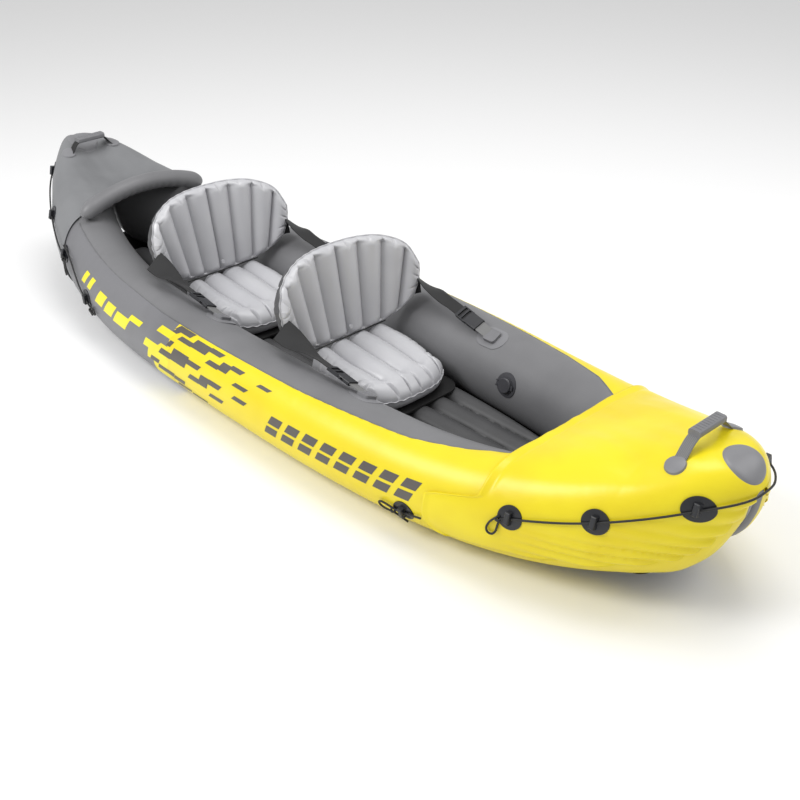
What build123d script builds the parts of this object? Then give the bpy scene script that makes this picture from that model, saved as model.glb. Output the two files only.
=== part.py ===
from build123d import *
import os
from math import atan2, cos, degrees, pi, radians, sin, tan

# Inflatable two-seat kayak. +X is the bow, +Y port, +Z up; z = 0 is the ground
# under the flat part of the bottom. Millimetres throughout.

# ---- hull ----
HULL_LENGTH = 3112.0
HULL_BEAM = 910.0
PLAN_FULLNESS = 2.6        # exponent of the plan curve: higher is squarer
PLAN_TAPER = 0.55          # how blunt the two ends are
SIDE_HEIGHT = 268.0        # top of a side chamber amidships
CHAMBER_WIDTH = 255.0
CHAMBER_GAP = 12.0         # between the two chambers where they run side by side
CHAMBER_END = 11.0         # chambers stop this far short of the hull's tips
FLAT_HALF = 600.0          # the bottom is flat this far each way from the middle
KEEL_RISE = 140.0          # rocker at the tips
TIP_RISE = 220.0           # extra lift of the last few centimetres
BOW_SHEER = 215.0
STERN_SHEER = 255.0
SHEER_POWER = 2.2
BOW_DROP = 120.0           # rounding of the nose
STERN_DROP = 50.0
SKIN = 1.6                 # bottom skin
SEAT_GAP = 0.4             # clearance between a soft piece and its neighbour

# ---- floor ----
FLOOR_HALF = 1180.0
FLOOR_HEIGHT = 90.0
FLOOR_TUBES = 5
FLOOR_PITCH = 78.0
FLOOR_TUBE_WIDTH = 88.0

# ---- decks ----
DECK_CLEAR = 4.0
DECK_THICKNESS = 2.5
BOW_EDGE = 985.0
BOW_CREST = 28.0
BOW_LOBE = 830.0           # the skirts reach aft of the deck's edge to here
BOW_LOBE_TOP = 190.0
STERN_EDGE = 1118.0
STERN_LIP = 45.0
STERN_HOLLOW = 18.0
SKIRT_ANGLE = -30.0
COAMING_X = -1083.0
COAMING_DIAMETER = 64.0
COAMING_TOP = 437.0
COAMING_HALF = 262.0
COAMING_DROP = 62.0        # the arch's ends sit this far below its middle

# ---- welded patches ----
PATCH = 2.5
NOSE_PATCH_DIAMETER = 115.0
HANDLE_PATCH_DIAMETER = 54.0
WEAR_PATCH = (1130.0, 1370.0, 150.0)
SKEG_BASE = (130.0, 34.0, 9.0)
SKEG_SLOT = (72.0, 5.0, 7.0)
SKEG_X = -1190.0

# ---- carry handles ----
BOW_HANDLE_X = 1386.0
STERN_HANDLE_X = -1432.0
BOW_HANDLE_Y = 118.0
STERN_HANDLE_Y = 96.0
GRIP = (112.0, 34.0, 20.0)
BOW_GRIP_Z = 474.0
STERN_GRIP_Z = 496.0
WEBBING = (38.0, 1.8)
WEBBING_GAP = 2.0

# ---- grab lines ----
ROPE_DIAMETER = 6.0
ROPE_LOOSE = 1.3           # all round the rope in a holder's tunnel
HOLDER_DIAMETER = 66.0
HOLDER_DISC = 3.0
HOLDER_BRIDGE = (15.0, 34.0, 14.0)
HOLDER_ROOM = 40.0         # a holder stands on a deck from this far inside its edge
KNOT_DIAMETER = 20.0
# Distance along the hull and angle on the chamber, measured up from outboard.
BOW_HOLDERS = ((1083.0, 16.0), (1285.0, 19.5), (1478.0, 27.5))
STERN_HOLDERS = ((-1103.0, 14.0), (-1300.0, 20.0), (-1480.0, 27.0))
BOW_TIE = (762.0, -19.6)
STERN_TIE = (-870.0, -3.0)

# ---- chamber valves ----
VALVE_X = 590.0
VALVE_TILT = 16.0          # above the horizontal, facing the cockpit
FLOOR_VALVE_X = -980.0
VALVE_FLANGE = 78.0
VALVE_RING = (54.0, 4.0)
VALVE_BARREL = (40.0, 24.0)
VALVE_BORE = (26.0, 22.0)
VALVE_CAP = (48.0, 8.0)
CAP_PIN = 3.0
CAP_PIN_FIT = 0.05
CAP_PIN_OUT = 30.0
FLOOR_VALVE_SINK = 9.0

# ---- seats ----
SEAT_X = 90.0
SEAT_PITCH = 682.0
SEAT_TOP_REAR = 215.0
SEAT_TOP_FRONT = 186.0
CUSHION = (318.0, 352.0)
CUSHION_BASE = 6.0
HINGE_LIFT = 6.0
BACK_HEIGHT = 300.0
BACK_HALF = 266.0
BACK_RADIUS = 600.0
BACK_THICKNESS = 52.0
BACK_LEAN = 10.0
BACK_VALVE = (13.0, 6.0, 28.0)
SLING = (60.0, 165.0, 1.6)
PIPING = (4.0, 150.0)

# ---- seat straps ----
ANCHOR_X = 455.0
ANCHOR_TURN = 25.0         # inboard of the chamber's top
ANCHOR_PATCH = (110.0, 78.0)
TAB = (46.0, 46.0, 9.0)
STRAP_END = (92.0, 279.0, 338.0)
STRAP_WIDE = 74.0
STRAP_TWIST = 78.0
SOCKET = (42.0, 46.0, 13.0)
SOCKET_START = 58.0
SOCKET_WALL = 3.4
PRONG = 28.0
RELEASE = 34.0             # travel that frees the plug from its socket
PLUG_FRAME = (48.0, 46.0, 11.0)
FIT = 0.5

HALF = HULL_LENGTH / 2
SKIN_TOP = DECK_CLEAR + DECK_THICKNESS
SEAT_HINGE_Z = SEAT_TOP_REAR + HINGE_LIFT
ROPE_AREA = pi * ROPE_DIAMETER**2 / 4


# ---------------------------------------------------------------- hull lines
def half_beam(x):
    return HULL_BEAM / 2 * (1 - min(abs(x) / HALF, 0.9995) ** PLAN_FULLNESS) ** PLAN_TAPER


def keel(x):
    rise = max(abs(x) - FLAT_HALF, 0) / (HALF - FLAT_HALF)
    return KEEL_RISE * rise**2.5 + TIP_RISE * (abs(x) / HALF) ** 30


def side_top(x):
    sheer, drop = (BOW_SHEER, BOW_DROP) if x > 0 else (STERN_SHEER, STERN_DROP)
    rise = max(abs(x) - FLAT_HALF, 0) / (HALF - FLAT_HALF)
    return SIDE_HEIGHT + sheer * rise**SHEER_POWER - drop * (abs(x) / HALF) ** 24


def crest(x):
    """Height of a deck's middle above the chambers' tops."""
    edge = BOW_EDGE if x > 0 else STERN_EDGE
    t = max(abs(x) - edge, 0) / (HALF - edge)
    if x > 0:
        return BOW_CREST * 4 * t * (1 - t)
    return STERN_LIP * (1 - t) ** 4 - STERN_HOLLOW * 4 * t * (1 - t)


def chamber(x):
    """Centre y, centre z, half width and half height of a side chamber at x."""
    width = min(CHAMBER_WIDTH, half_beam(x) - CHAMBER_GAP / 2)
    low = keel(x) + SKIN + SEAT_GAP
    high = side_top(x)
    return half_beam(x) - width / 2, (low + high) / 2, width / 2, (high - low) / 2


def across(x, y, z, x_dir=(0, 1, 0)):
    return Plane(origin=(x, y, z), x_dir=x_dir, z_dir=(1, 0, 0))


def on_chamber(x, side, angle):
    """Point and outward normal on a chamber's skin; angle from outboard up over the top."""
    y, z, a, b = chamber(x)
    turn = radians(angle)
    point = Vector(x, side * (y + a * cos(turn)), z + b * sin(turn))
    normal = Vector(0, side * b * cos(turn), a * sin(turn)).normalized()
    return point, normal


def skin_plane(point, normal):
    """A plane on the skin with its x axis along the hull."""
    x_dir = Vector(1, 0, 0) - normal * normal.X
    return Plane(origin=point, x_dir=x_dir, z_dir=normal)


# ---------------------------------------------------------------- hull solids
def side_chamber(side, grow=0.0):
    tip = HALF - CHAMBER_END
    spans = (tip, tip - 35, 1450, 1340, 1180, 960, 600, 200)
    stations = [-s for s in spans] + [s for s in reversed(spans)]
    rings = []
    for x in stations:
        y, z, a, b = chamber(x)
        rings.append((across(x, side * y, z) * Ellipse(a + grow, b + grow)).face())
    return loft(rings)


def deck_ring(x, grow, low):
    y, z, a, b = chamber(x)
    a += grow
    b += grow
    flank = [(x, y + a * cos(radians(t)), z + b * sin(radians(t))) for t in (low, 0, 36, 70)]
    top = [(x, 0, z + b + crest(x))]
    far = [(x, -p[1], p[2]) for p in reversed(flank)]
    edge = Spline(*(flank + top + far))
    return Face(Wire([edge, Line(edge @ 1, edge @ 0)]))


def deck_solid(end, grow, low, start, stop):
    steps = (0, 0.14, 0.28, 0.42, 0.56, 0.70, 0.82, 0.92, 1)
    return loft([deck_ring(end * (start + (stop - start) * t), grow, low) for t in steps])


def bow_outer(grow=0.0):
    return deck_solid(1, SKIN_TOP + grow, SKIRT_ANGLE, BOW_LOBE, HALF - 2)


def stern_outer(grow=0.0):
    return deck_solid(-1, SKIN_TOP + grow, SKIRT_ANGLE, STERN_EDGE, HALF - 2)


def bow_deck(outer):
    inner = deck_solid(1, DECK_CLEAR, SKIRT_ANGLE - 5, BOW_LOBE - 5, HALF - 5)
    for side in (-1, 1):
        outer -= side_chamber(side, SEAT_GAP)
    reach = BOW_EDGE - BOW_LOBE + 20
    opening = Pos(BOW_EDGE - reach / 2, 0, BOW_LOBE_TOP + 150) * Box(reach, HULL_BEAM, 300)
    corner = edges_near(opening, BOW_EDGE, BOW_LOBE_TOP)
    return outer - inner - fillet(corner, 40)


def edges_near(solid, x, z):
    """The solid's edges across the hull at this x and z."""
    found = solid.edges().filter_by(Axis.Y)
    return [e for e in found if abs(e.center().X - x) < 1 and abs(e.center().Z - z) < 1]


def stern_deck(outer):
    inner = deck_solid(-1, DECK_CLEAR, SKIRT_ANGLE - 5, STERN_EDGE - 5, HALF - 5)
    return outer - inner


def keel_slab(low, high, reach):
    """A slab that follows the keel line, from low to high above it."""
    spans = [FLAT_HALF + (reach - FLAT_HALF) * i / 6 for i in range(7)]
    below = [(x, 0, keel(x) + low) for x in spans]
    above = [(x, 0, keel(x) + high) for x in spans]
    bow_low = Spline(*below, tangents=[(1, 0, 0), (1, 0, slope(reach))])
    bow_high = Spline(*above, tangents=[(1, 0, 0), (1, 0, slope(reach))])
    stern_low = mirror(bow_low, about=Plane.YZ).edge()
    stern_high = mirror(bow_high, about=Plane.YZ).edge()
    flat_low = Line(below[0], (-FLAT_HALF, 0, low))
    flat_high = Line(above[0], (-FLAT_HALF, 0, high))
    ends = [Line(below[-1], above[-1]), Line((-reach, 0, below[-1][2]), (-reach, 0, above[-1][2]))]
    face = Face(Wire([bow_low, flat_low, stern_low, ends[1], stern_high, flat_high, bow_high, ends[0]]))
    return extrude(face, amount=HULL_BEAM / 2, dir=(0, 1, 0), both=True)


def slope(x):
    return (keel(x + 1) - keel(x - 1)) / 2


def plan_prism(reach, inset, top):
    """The hull's plan shape drawn in by inset, as a prism from the ground up."""
    spans = [reach * i / 6 for i in range(-6, 7)]
    port = [(x, half_beam(x) - inset) for x in spans]
    edge = Spline(*port)
    other = mirror(edge, about=Plane.XZ).edge()
    ends = [Line((s * reach, port[0][1]), (s * reach, -port[0][1])) for s in (-1, 1)]
    return extrude(Face(Wire([edge, ends[1], other, ends[0]])), amount=top, dir=(0, 0, 1), both=True)


def floor_chamber():
    ring = Sketch()
    for i in range(FLOOR_TUBES):
        y = (i - (FLOOR_TUBES - 1) / 2) * FLOOR_PITCH
        ring += Pos(y, 0) * Ellipse(FLOOR_TUBE_WIDTH / 2, FLOOR_HEIGHT / 2)
    middle = SKIN + SEAT_GAP + FLOOR_HEIGHT / 2
    mat = extrude(across(0, 0, middle) * ring, amount=FLOOR_HALF, both=True)
    plan = plan_prism(FLOOR_HALF, CHAMBER_WIDTH + SEAT_GAP + 2, FLOOR_HEIGHT + 20)
    return mat & plan & keel_slab(SKIN + SEAT_GAP, 200, FLOOR_HALF + 60)


def bottom_skin():
    return keel_slab(0, SKIN, 1400) & plan_prism(1390, CHAMBER_WIDTH / 2, 120)


def wear_patch():
    start, stop, half = WEAR_PATCH
    outline = Pos((start + stop) / 2, 0) * RectangleRounded(stop - start, 2 * half, 40)
    return keel_slab(-SKIN, 0, 1400) & extrude(outline, amount=200)


def skeg_base():
    pitch = degrees(atan2(slope(SKEG_X), 1))
    place = Pos(SKEG_X, 0, keel(SKEG_X)) * Rot(Y=-pitch)
    length, width, depth = SKEG_BASE
    block = Pos(0, 0, -depth / 2 + 3) * Box(length, width, depth + 6)
    block = fillet(block.edges().filter_by(Axis.Z), 12)
    slot = Pos(0, 0, -depth) * Box(SKEG_SLOT[0], SKEG_SLOT[1], 2 * SKEG_SLOT[2])
    return place * (block - slot) - keel_slab(0, 120, 1400)


def coaming_tube(chambers):
    middle = COAMING_TOP - COAMING_DIAMETER / 2
    arch = ThreePointArc(
        (COAMING_X, -COAMING_HALF, middle - COAMING_DROP),
        (COAMING_X, 0, middle),
        (COAMING_X, COAMING_HALF, middle - COAMING_DROP),
    )
    section = Plane(origin=arch @ 0, z_dir=arch % 0) * Circle(COAMING_DIAMETER / 2)
    return sweep(section, path=arch) - chambers[-1] - chambers[1]


# ---------------------------------------------------------------- patches
def welded(outer, inner, plane, outline, depth=40):
    """The part of a skin between two offsets that an outline covers."""
    cutter = extrude(plane * outline, amount=depth, both=True)
    return (outer & cutter) - inner


def nose_patch(end, outer, skin):
    point = Vector(end * 1506, 0, 424 if end > 0 else 462)
    normal = Vector(end * sin(radians(40)), 0, cos(radians(40)))
    plane = Plane(origin=point, x_dir=(0, 1, 0), z_dir=normal)
    return welded(skin, outer, plane, Circle(NOSE_PATCH_DIAMETER / 2), 60)


def handle_patches(x, y, outer, skin):
    made = []
    for side in (-1, 1):
        plane = Plane(origin=(x, side * y, side_top(x)), x_dir=(1, 0, 0), z_dir=(0, 0, 1))
        made.append(welded(skin, outer, plane, Circle(HANDLE_PATCH_DIAMETER / 2)))
    return Compound(children=made)


# ---------------------------------------------------------------- handles
def webbing_root(x):
    """Height of the webbing where it leaves its welded patch."""
    return side_top(x) + SKIN_TOP + PATCH + 1.5


def handle_webbing(x, y, grip_z, skin):
    """Two legs, from each welded patch up to the end of the grip."""
    width, thickness = WEBBING
    low = webbing_root(x)
    legs = []
    for side in (-1, 1):
        run = ((side * y, low - 8), (side * (y - 6), low + 2), (side * (GRIP[0] / 2 + WEBBING_GAP), grip_z))
        flat = Plane(origin=(x, 0, 0), x_dir=(0, 1, 0), z_dir=(1, 0, 0)) * trace(Polyline(*run), thickness)
        legs.append(extrude(flat, amount=width / 2, both=True) - skin)
    return legs


def grip(x, grip_z):
    length, width, height = GRIP
    bar = Box(width, length, height)
    bar = fillet(bar.edges().filter_by(Axis.Y), 7)
    for i in range(-4, 5):
        bar -= Pos(0, i * 11, height / 2 + 1.2) * Box(width + 2, 3, 4)
    return Pos(x, 0, grip_z) * bar


# ---------------------------------------------------------------- grab lines
# Each route lists distance along the hull, distance off the middle and height.
# A grab line starts in its knot, makes its end loop, passes its holders and rounds the tip.
BOW_LINE = [
    (1052, 364, 206), (1042, 369, 196), (1033, 373, 182), (1028, 375, 167), (1032, 374, 154),
    (1043, 370, 151), (1052, 367, 160), (1056, 366, 175), (1058, 364, 191), (1063, 361, 204),
    (1078, 357, 212), (1108, 348, 219), (1154, 333, 231), (1219, 309, 249), (1285, 279, 270),
    (1350, 245, 294), (1417, 204, 320), (1482, 151, 346), (1522, 110, 358), (1548, 70, 364),
    (1562, 34, 368),
]
STERN_LINE = [
    (-1073, 360, 211), (-1063, 365, 201), (-1054, 368, 187), (-1049, 370, 172), (-1053, 370, 159),
    (-1064, 366, 156), (-1073, 363, 165), (-1077, 362, 180), (-1079, 360, 196), (-1084, 357, 209),
    (-1099, 352, 217), (-1129, 342, 226), (-1169, 329, 240), (-1234, 303, 263), (-1300, 272, 290),
    (-1366, 236, 320), (-1427, 197, 351), (-1483, 151, 380), (-1522, 110, 397), (-1548, 70, 405),
    (-1562, 34, 408),
]
# A tie cord runs from the deck's hem through its holder, makes a loop and ends in a tail.
BOW_TIE_CORD = [
    (825, 406, 100), (794, 410, 95), (762, 414, 91), (739, 418, 90), (723, 421, 93),
    (707, 425, 98), (693, 428, 99), (683, 427, 92), (685, 423, 81), (698, 419, 75),
    (714, 416, 74), (730, 414, 75), (745, 410, 71), (758, 404, 63), (768, 397, 54),
]
STERN_TIE_CORD = [
    (-1113, 335, 246), (-1061, 349, 237), (-1011, 366, 217), (-961, 383, 189), (-917, 396, 161),
    (-871, 404, 138), (-847, 408, 126), (-831, 410, 123), (-815, 414, 126), (-801, 417, 128),
    (-791, 418, 120), (-793, 416, 109), (-806, 412, 102), (-822, 408, 102), (-839, 405, 101),
    (-852, 401, 95), (-862, 395, 83), (-869, 387, 70),
]
KNOTS = [(1057, 363, 204), (-1079, 359, 209), (731, 417, 84), (-831, 409, 112)]


def on_side(route, side):
    return [(x, side * y, z) for x, y, z in route]


def around(route):
    """A grab line's whole route, from starboard round the tip to port."""
    return on_side(route, -1) + on_side(reversed(route), 1)


def corner_radii(points):
    radii = []
    for a, b, c in zip(points, points[1:], points[2:]):
        before, after = b - a, c - b
        turn = radians(before.get_angle(after))
        radii.append(0.45 * min(before.length, after.length) / tan(turn / 2))
    return radii


def rope(route, diameter=ROPE_DIAMETER):
    points = [Vector(*p) for p in route]
    radii = corner_radii(points)
    path = FilletPolyline(*points, radius=radii)
    tube = sweep(Plane(origin=path @ 0, z_dir=path % 0) * Circle(diameter / 2), path=path)
    return tube, path.length, radii


def holder(spot, side, skins):
    """A welded disc and the bridge over the rope; skins are the hull there and the disc's top."""
    point, normal = on_chamber(spot[0], side, spot[1])
    plane = skin_plane(point + normal * skins[2], normal)
    disc = welded(skins[1], skins[0], plane, Circle(HOLDER_DIAMETER / 2))
    length, width, height = HOLDER_BRIDGE
    block = Pos(0, 0, HOLDER_DISC + height / 2 - 5) * Box(length, width, height + 10)
    block = fillet(block.faces().sort_by(Axis.Z)[-1].edges(), 3)
    return disc, plane.location * block - skins[1]


def holders(spots, skins, tunnels):
    discs, bridges = [], []
    for spot in spots:
        for side in (-1, 1):
            disc, bridge = holder(spot, side, skins[side])
            discs.append(disc - tunnels)
            bridges.append(bridge - tunnels)
    return discs, bridges


# ---------------------------------------------------------------- chamber valves
def cylinder(diameter, low, high, x=0.0):
    return Pos(x, 0, (low + high) / 2) * Cylinder(diameter / 2, high - low)


def valve_body():
    """Threaded body: ring, barrel, blind bore and the cap's two hinge ears."""
    ring_low = PATCH + SEAT_GAP / 2
    ring_high = ring_low + VALVE_RING[1]
    body = cylinder(VALVE_RING[0], ring_low, ring_high)
    body += cylinder(VALVE_BARREL[0], ring_low - VALVE_BARREL[1], ring_low)
    pin_z = ring_high + 3
    for side in (-1, 1):
        ear = Pos(-CAP_PIN_OUT + 1, side * 8.2, (ring_low + pin_z + 3) / 2) * Box(8, 4, pin_z + 3 - ring_low)
        body += ear
    body -= cylinder(VALVE_BORE[0], ring_high - VALVE_BORE[1], ring_high + 1)
    pin = Pos(-CAP_PIN_OUT, 0, pin_z) * Rot(X=90) * Cylinder(CAP_PIN / 2 + CAP_PIN_FIT, 30)
    return body - pin


def valve_cap():
    """Hinged cap: a shallow cup over the ring, a lug and the hinge pin."""
    low = PATCH + SEAT_GAP / 2 + VALVE_RING[1] + SEAT_GAP
    high = low + VALVE_CAP[1]
    cap = cylinder(VALVE_CAP[0], low, high)
    cap = fillet(cap.faces().sort_by(Axis.Z)[-1].edges(), 3)
    cap -= cylinder(VALVE_BORE[0] + 6, low - 1, high - 3)
    pin_z = PATCH + SEAT_GAP / 2 + VALVE_RING[1] + 3
    lug = Pos(-CAP_PIN_OUT + 6, 0, pin_z) * Box(14, 11, 4.5)
    lug -= cylinder(VALVE_BORE[0] + 6, low - 1, high - 3)
    pin = Pos(-CAP_PIN_OUT, 0, pin_z) * Rot(X=90) * Cylinder(CAP_PIN / 2, 20)
    thumb = Pos(VALVE_CAP[0] / 2 + 2, 0, low + 2) * Box(10, 14, 3)
    return cap + lug + pin + (thumb - cylinder(VALVE_BORE[0] + 6, low - 1, high))


def valve_pocket():
    return cylinder(VALVE_BARREL[0] + 2 * SEAT_GAP, PATCH - VALVE_BARREL[1] - 2, PATCH + 3)


def valve_plane(where):
    if where == "floor":
        top = SKIN + SEAT_GAP + FLOOR_HEIGHT - FLOOR_VALVE_SINK
        return Plane(origin=(FLOOR_VALVE_X, 0, top), x_dir=(1, 0, 0), z_dir=(0, 0, 1))
    point, normal = on_chamber(VALVE_X, -1 if where == "starboard" else 1, 180 - VALVE_TILT)
    return skin_plane(point, normal)


# ---------------------------------------------------------------- seats
def front_cylinder(radius, low=-60.0, high=400.0):
    """Upright cylinder whose skin passes behind a seat's back line at x = 0 when radius = BACK_RADIUS."""
    return Pos(BACK_RADIUS, 0, (low + high) / 2) * Cylinder(radius, high - low)


def cushion():
    length, width = CUSHION
    low = SKIN + SEAT_GAP + FLOOR_HEIGHT + CUSHION_BASE + 2 * SEAT_GAP
    side = Polyline((-20, 0, low), (length, 0, low), (length, 0, SEAT_TOP_FRONT), (0, 0, SEAT_TOP_REAR),
                    (-20, 0, SEAT_TOP_REAR), close=True)
    block = extrude(make_face(side), amount=width, dir=(0, 1, 0), both=True)
    plan = Pos(length / 2 - 20, 0) * RectangleRounded(length + 40, width, 66)
    block = block & extrude(plan, amount=400)
    block = block & front_cylinder(BACK_RADIUS - 6)
    top = block.faces().sort_by(Axis.Z)[-1].edges()
    return fillet(top, 16)


def cushion_base():
    length, width = CUSHION
    low = SKIN + SEAT_GAP + FLOOR_HEIGHT + SEAT_GAP
    plan = Pos(length / 2 + 2, 0) * RectangleRounded(length + 8, width + 10, 60)
    return Pos(0, 0, low) * extrude(plan, amount=CUSHION_BASE)


def back_outline():
    bottom = Spline((-165, 20), (0, 3), (165, 20))
    over = Spline(
        (165, 20), (238, 62), (BACK_HALF, 135), (232, 226), (130, 282), (0, BACK_HEIGHT),
        (-130, 282), (-232, 226), (-BACK_HALF, 135), (-238, 62), (-165, 20),
    )
    face = Plane(origin=(-150, 0, 0), x_dir=(0, 1, 0), z_dir=(1, 0, 0)) * make_face([bottom, over])
    return extrude(face, amount=400)


def back_shell(inner, outer):
    """A slice of an upright tube, cut to the backrest's outline."""
    wall = front_cylinder(outer) - front_cylinder(inner)
    return wall & back_outline()


def backrest():
    return back_shell(BACK_RADIUS, BACK_RADIUS + BACK_THICKNESS)


def sling():
    low, high, thickness = SLING
    start = BACK_RADIUS + BACK_THICKNESS + SEAT_GAP
    band = Pos(0, 0, (low + high) / 2) * Box(800, 700, high - low)
    return back_shell(start, start + thickness) & band


def back_valve():
    diameter, length, height = BACK_VALVE
    return Pos(length / 2 + SEAT_GAP, 0, height) * Rot(Y=90) * Cylinder(diameter / 2, length)


def back_place(seat):
    return Pos(SEAT_X - seat * SEAT_PITCH, 0, SEAT_HINGE_Z) * Rot(Y=-BACK_LEAN)


# ---------------------------------------------------------------- seat straps
def strap_plane(seat, side):
    """Frame of a strap: x runs from the anchor to the backrest, z away from the chamber."""
    point, normal = on_chamber(ANCHOR_X - seat * SEAT_PITCH, side, 90 + ANCHOR_TURN)
    start = point + normal * (PATCH + TAB[2] / 2)
    end = Vector(STRAP_END[0] - seat * SEAT_PITCH, side * STRAP_END[1], STRAP_END[2])
    along = (end - start).normalized()
    up = (normal - along * normal.dot(along)).normalized()
    return Plane(origin=start, x_dir=along, z_dir=up), (end - start).length


def block(start, stop, width, height, y=0.0, z=0.0):
    return Pos((start + stop) / 2, y, z) * Box(stop - start, width, height)


def anchor_tab(seat, side, patch_skin):
    point, normal = on_chamber(ANCHOR_X - seat * SEAT_PITCH, side, 90 + ANCHOR_TURN)
    length, width, height = TAB
    body = Pos(0, 0, (PATCH + height) / 2 - 4) * Box(length, width, PATCH + height + 8)
    body = fillet(body.edges().filter_by(Axis.Z), 9)
    body = fillet(body.faces().sort_by(Axis.Z)[-1].edges(), 2)
    frame, _ = strap_plane(seat, side)
    pocket = block(14, 60, WEBBING[0] + 2 * FIT, WEBBING[1] + 1 + 2 * FIT)
    return skin_plane(point, normal).location * body - patch_skin - frame.location * pocket


def anchor_webbing():
    return block(15, SOCKET_START + 8, WEBBING[0], WEBBING[1] + 1)


def socket():
    length, width, height = SOCKET
    start, stop = SOCKET_START, SOCKET_START + length
    body = block(start, stop, width, height)
    body = fillet(body.edges().filter_by(Axis.X), 4)
    inside = width - 2 * SOCKET_WALL
    body -= block(stop - PRONG - 2, stop + 1, inside, height - 5)
    body -= block(start - 1, start + 9, WEBBING[0] + 2 * FIT, WEBBING[1] + 1 + 2 * FIT)
    body -= block(stop - 22, stop - 8, width + 2, 5.5)
    return body


def plug():
    """Plug half: two spring arms, a tongue and the ladder frame that the strap threads."""
    mouth = SOCKET_START + SOCKET[0]
    reach = (SOCKET[1] - 2 * SOCKET_WALL) / 2 - FIT
    thick = SOCKET[2] - 5 - 2 * FIT
    body = block(mouth - PRONG, mouth + 2, 9, thick)
    for side in (-1, 1):
        body += block(mouth - PRONG, mouth + 2, 4.5, thick, side * (reach - 5))
        body += block(mouth - PRONG, mouth - PRONG + 12, 5.5, thick, side * (reach - 2.75))
    length, width, height = PLUG_FRAME
    frame = block(mouth + FIT, mouth + FIT + length, width, height)
    frame = fillet(frame.edges().filter_by(Axis.Z), 4)
    for centre in (mouth + 17, mouth + 34):
        frame -= block(centre - 5, centre + 5, WEBBING[0] + 2 * FIT, height + 2)
    return body + frame - block(mouth, mouth + length + 2, WEBBING[0] + 2 * FIT, WEBBING[1] + 2 * FIT)


def strap(side, length):
    """The strap from inside the plug's frame to the backrest, widening and turning onto its edge."""
    start = SOCKET_START + SOCKET[0] + RELEASE + 3
    flat = start + PLUG_FRAME[0]
    stations = [(start, 0.0), (flat, 0.0)] + [(flat + (length - flat) * t / 4, t / 4) for t in (1, 2, 3, 4)]
    rings = []
    for x, t in stations:
        width = WEBBING[0] + (STRAP_WIDE - WEBBING[0]) * t
        turn = radians(-side * STRAP_TWIST * t)
        plane = Plane(origin=(x, 0, 0), x_dir=(0, cos(turn), sin(turn)), z_dir=(1, 0, 0))
        rings.append((plane * Rectangle(width, WEBBING[1])).face())
    return loft(rings, ruled=True)


# ---------------------------------------------------------------- the kayak
def write(name, pieces):
    if not isinstance(pieces, list):
        pieces = [pieces]
    solids = [solid for piece in pieces for solid in piece.solids()]
    export_step(solids[0] if len(solids) == 1 else Compound(children=solids), f"parts/{name}.step")


def build_hull():
    sides = {-1: side_chamber(-1)}
    sides[1] = mirror(sides[-1], about=Plane.XZ)
    outers = {1: bow_outer(), -1: stern_outer()}
    patched = {1: bow_outer(PATCH), -1: stern_outer(PATCH)}
    write("bow_deck", bow_deck(outers[1]))
    write("stern_deck", stern_deck(outers[-1]))
    write("bottom_skin", bottom_skin())
    write("bow_wear_patch", wear_patch())
    write("skeg_base", skeg_base())
    write("stern_coaming_tube", coaming_tube(sides))
    write("bow_nose_patch", nose_patch(1, outers[1], patched[1]))
    write("stern_nose_patch", nose_patch(-1, outers[-1], patched[-1]))
    for end, name, x, y, z in (
        (1, "bow", BOW_HANDLE_X, BOW_HANDLE_Y, BOW_GRIP_Z),
        (-1, "stern", STERN_HANDLE_X, STERN_HANDLE_Y, STERN_GRIP_Z),
    ):
        write(f"{name}_handle_patches", handle_patches(x, y, outers[end], patched[end]))
        write(f"{name}_handle_webbing", handle_webbing(x, y, z, patched[end]))
        write(f"{name}_grip", grip(x, z))
    return sides, outers


def grab_line(name, route):
    """Writes one grab line, prints its sizes and returns the tunnel it needs in its holders."""
    tube, length, radii = rope(around(route))
    print(f"{name}_grab_line length {length:.0f}, volume over section {tube.volume / ROPE_AREA:.0f}")
    print("  radii", " ".join(f"{r:.0f}" for r in radii))
    write(f"{name}_grab_line", tube)
    return rope(around(route), ROPE_DIAMETER + 2 * ROPE_LOOSE)[0]


def tie_cords(name, route):
    """Writes one end's two tie cords, prints their sizes and returns the tunnels they need."""
    tunnels = []
    for side, label in ((-1, "starboard"), (1, "port")):
        tube, length, radii = rope(on_side(route, side))
        write(f"tie_cord_{name}_{label}", tube)
        tunnels.append(rope(on_side(route[:8], side), ROPE_DIAMETER + 2 * ROPE_LOOSE)[0])
    print(f"tie_cord_{name} length {length:.0f}, volume over section {tube.volume / ROPE_AREA:.0f}")
    print("  radii", " ".join(f"{r:.0f}" for r in radii))
    return tunnels


def knots(grown, raised):
    """A round knot at each rope end, pressed flat where it lies on the hull."""
    made = []
    for x, y, z in KNOTS:
        for side in (-1, 1):
            ball = Pos(x, side * y, z) * Sphere(KNOT_DIAMETER / 2)
            made.append(ball - raised[1 if x > 0 else -1] - grown[side])
    return made


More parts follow.
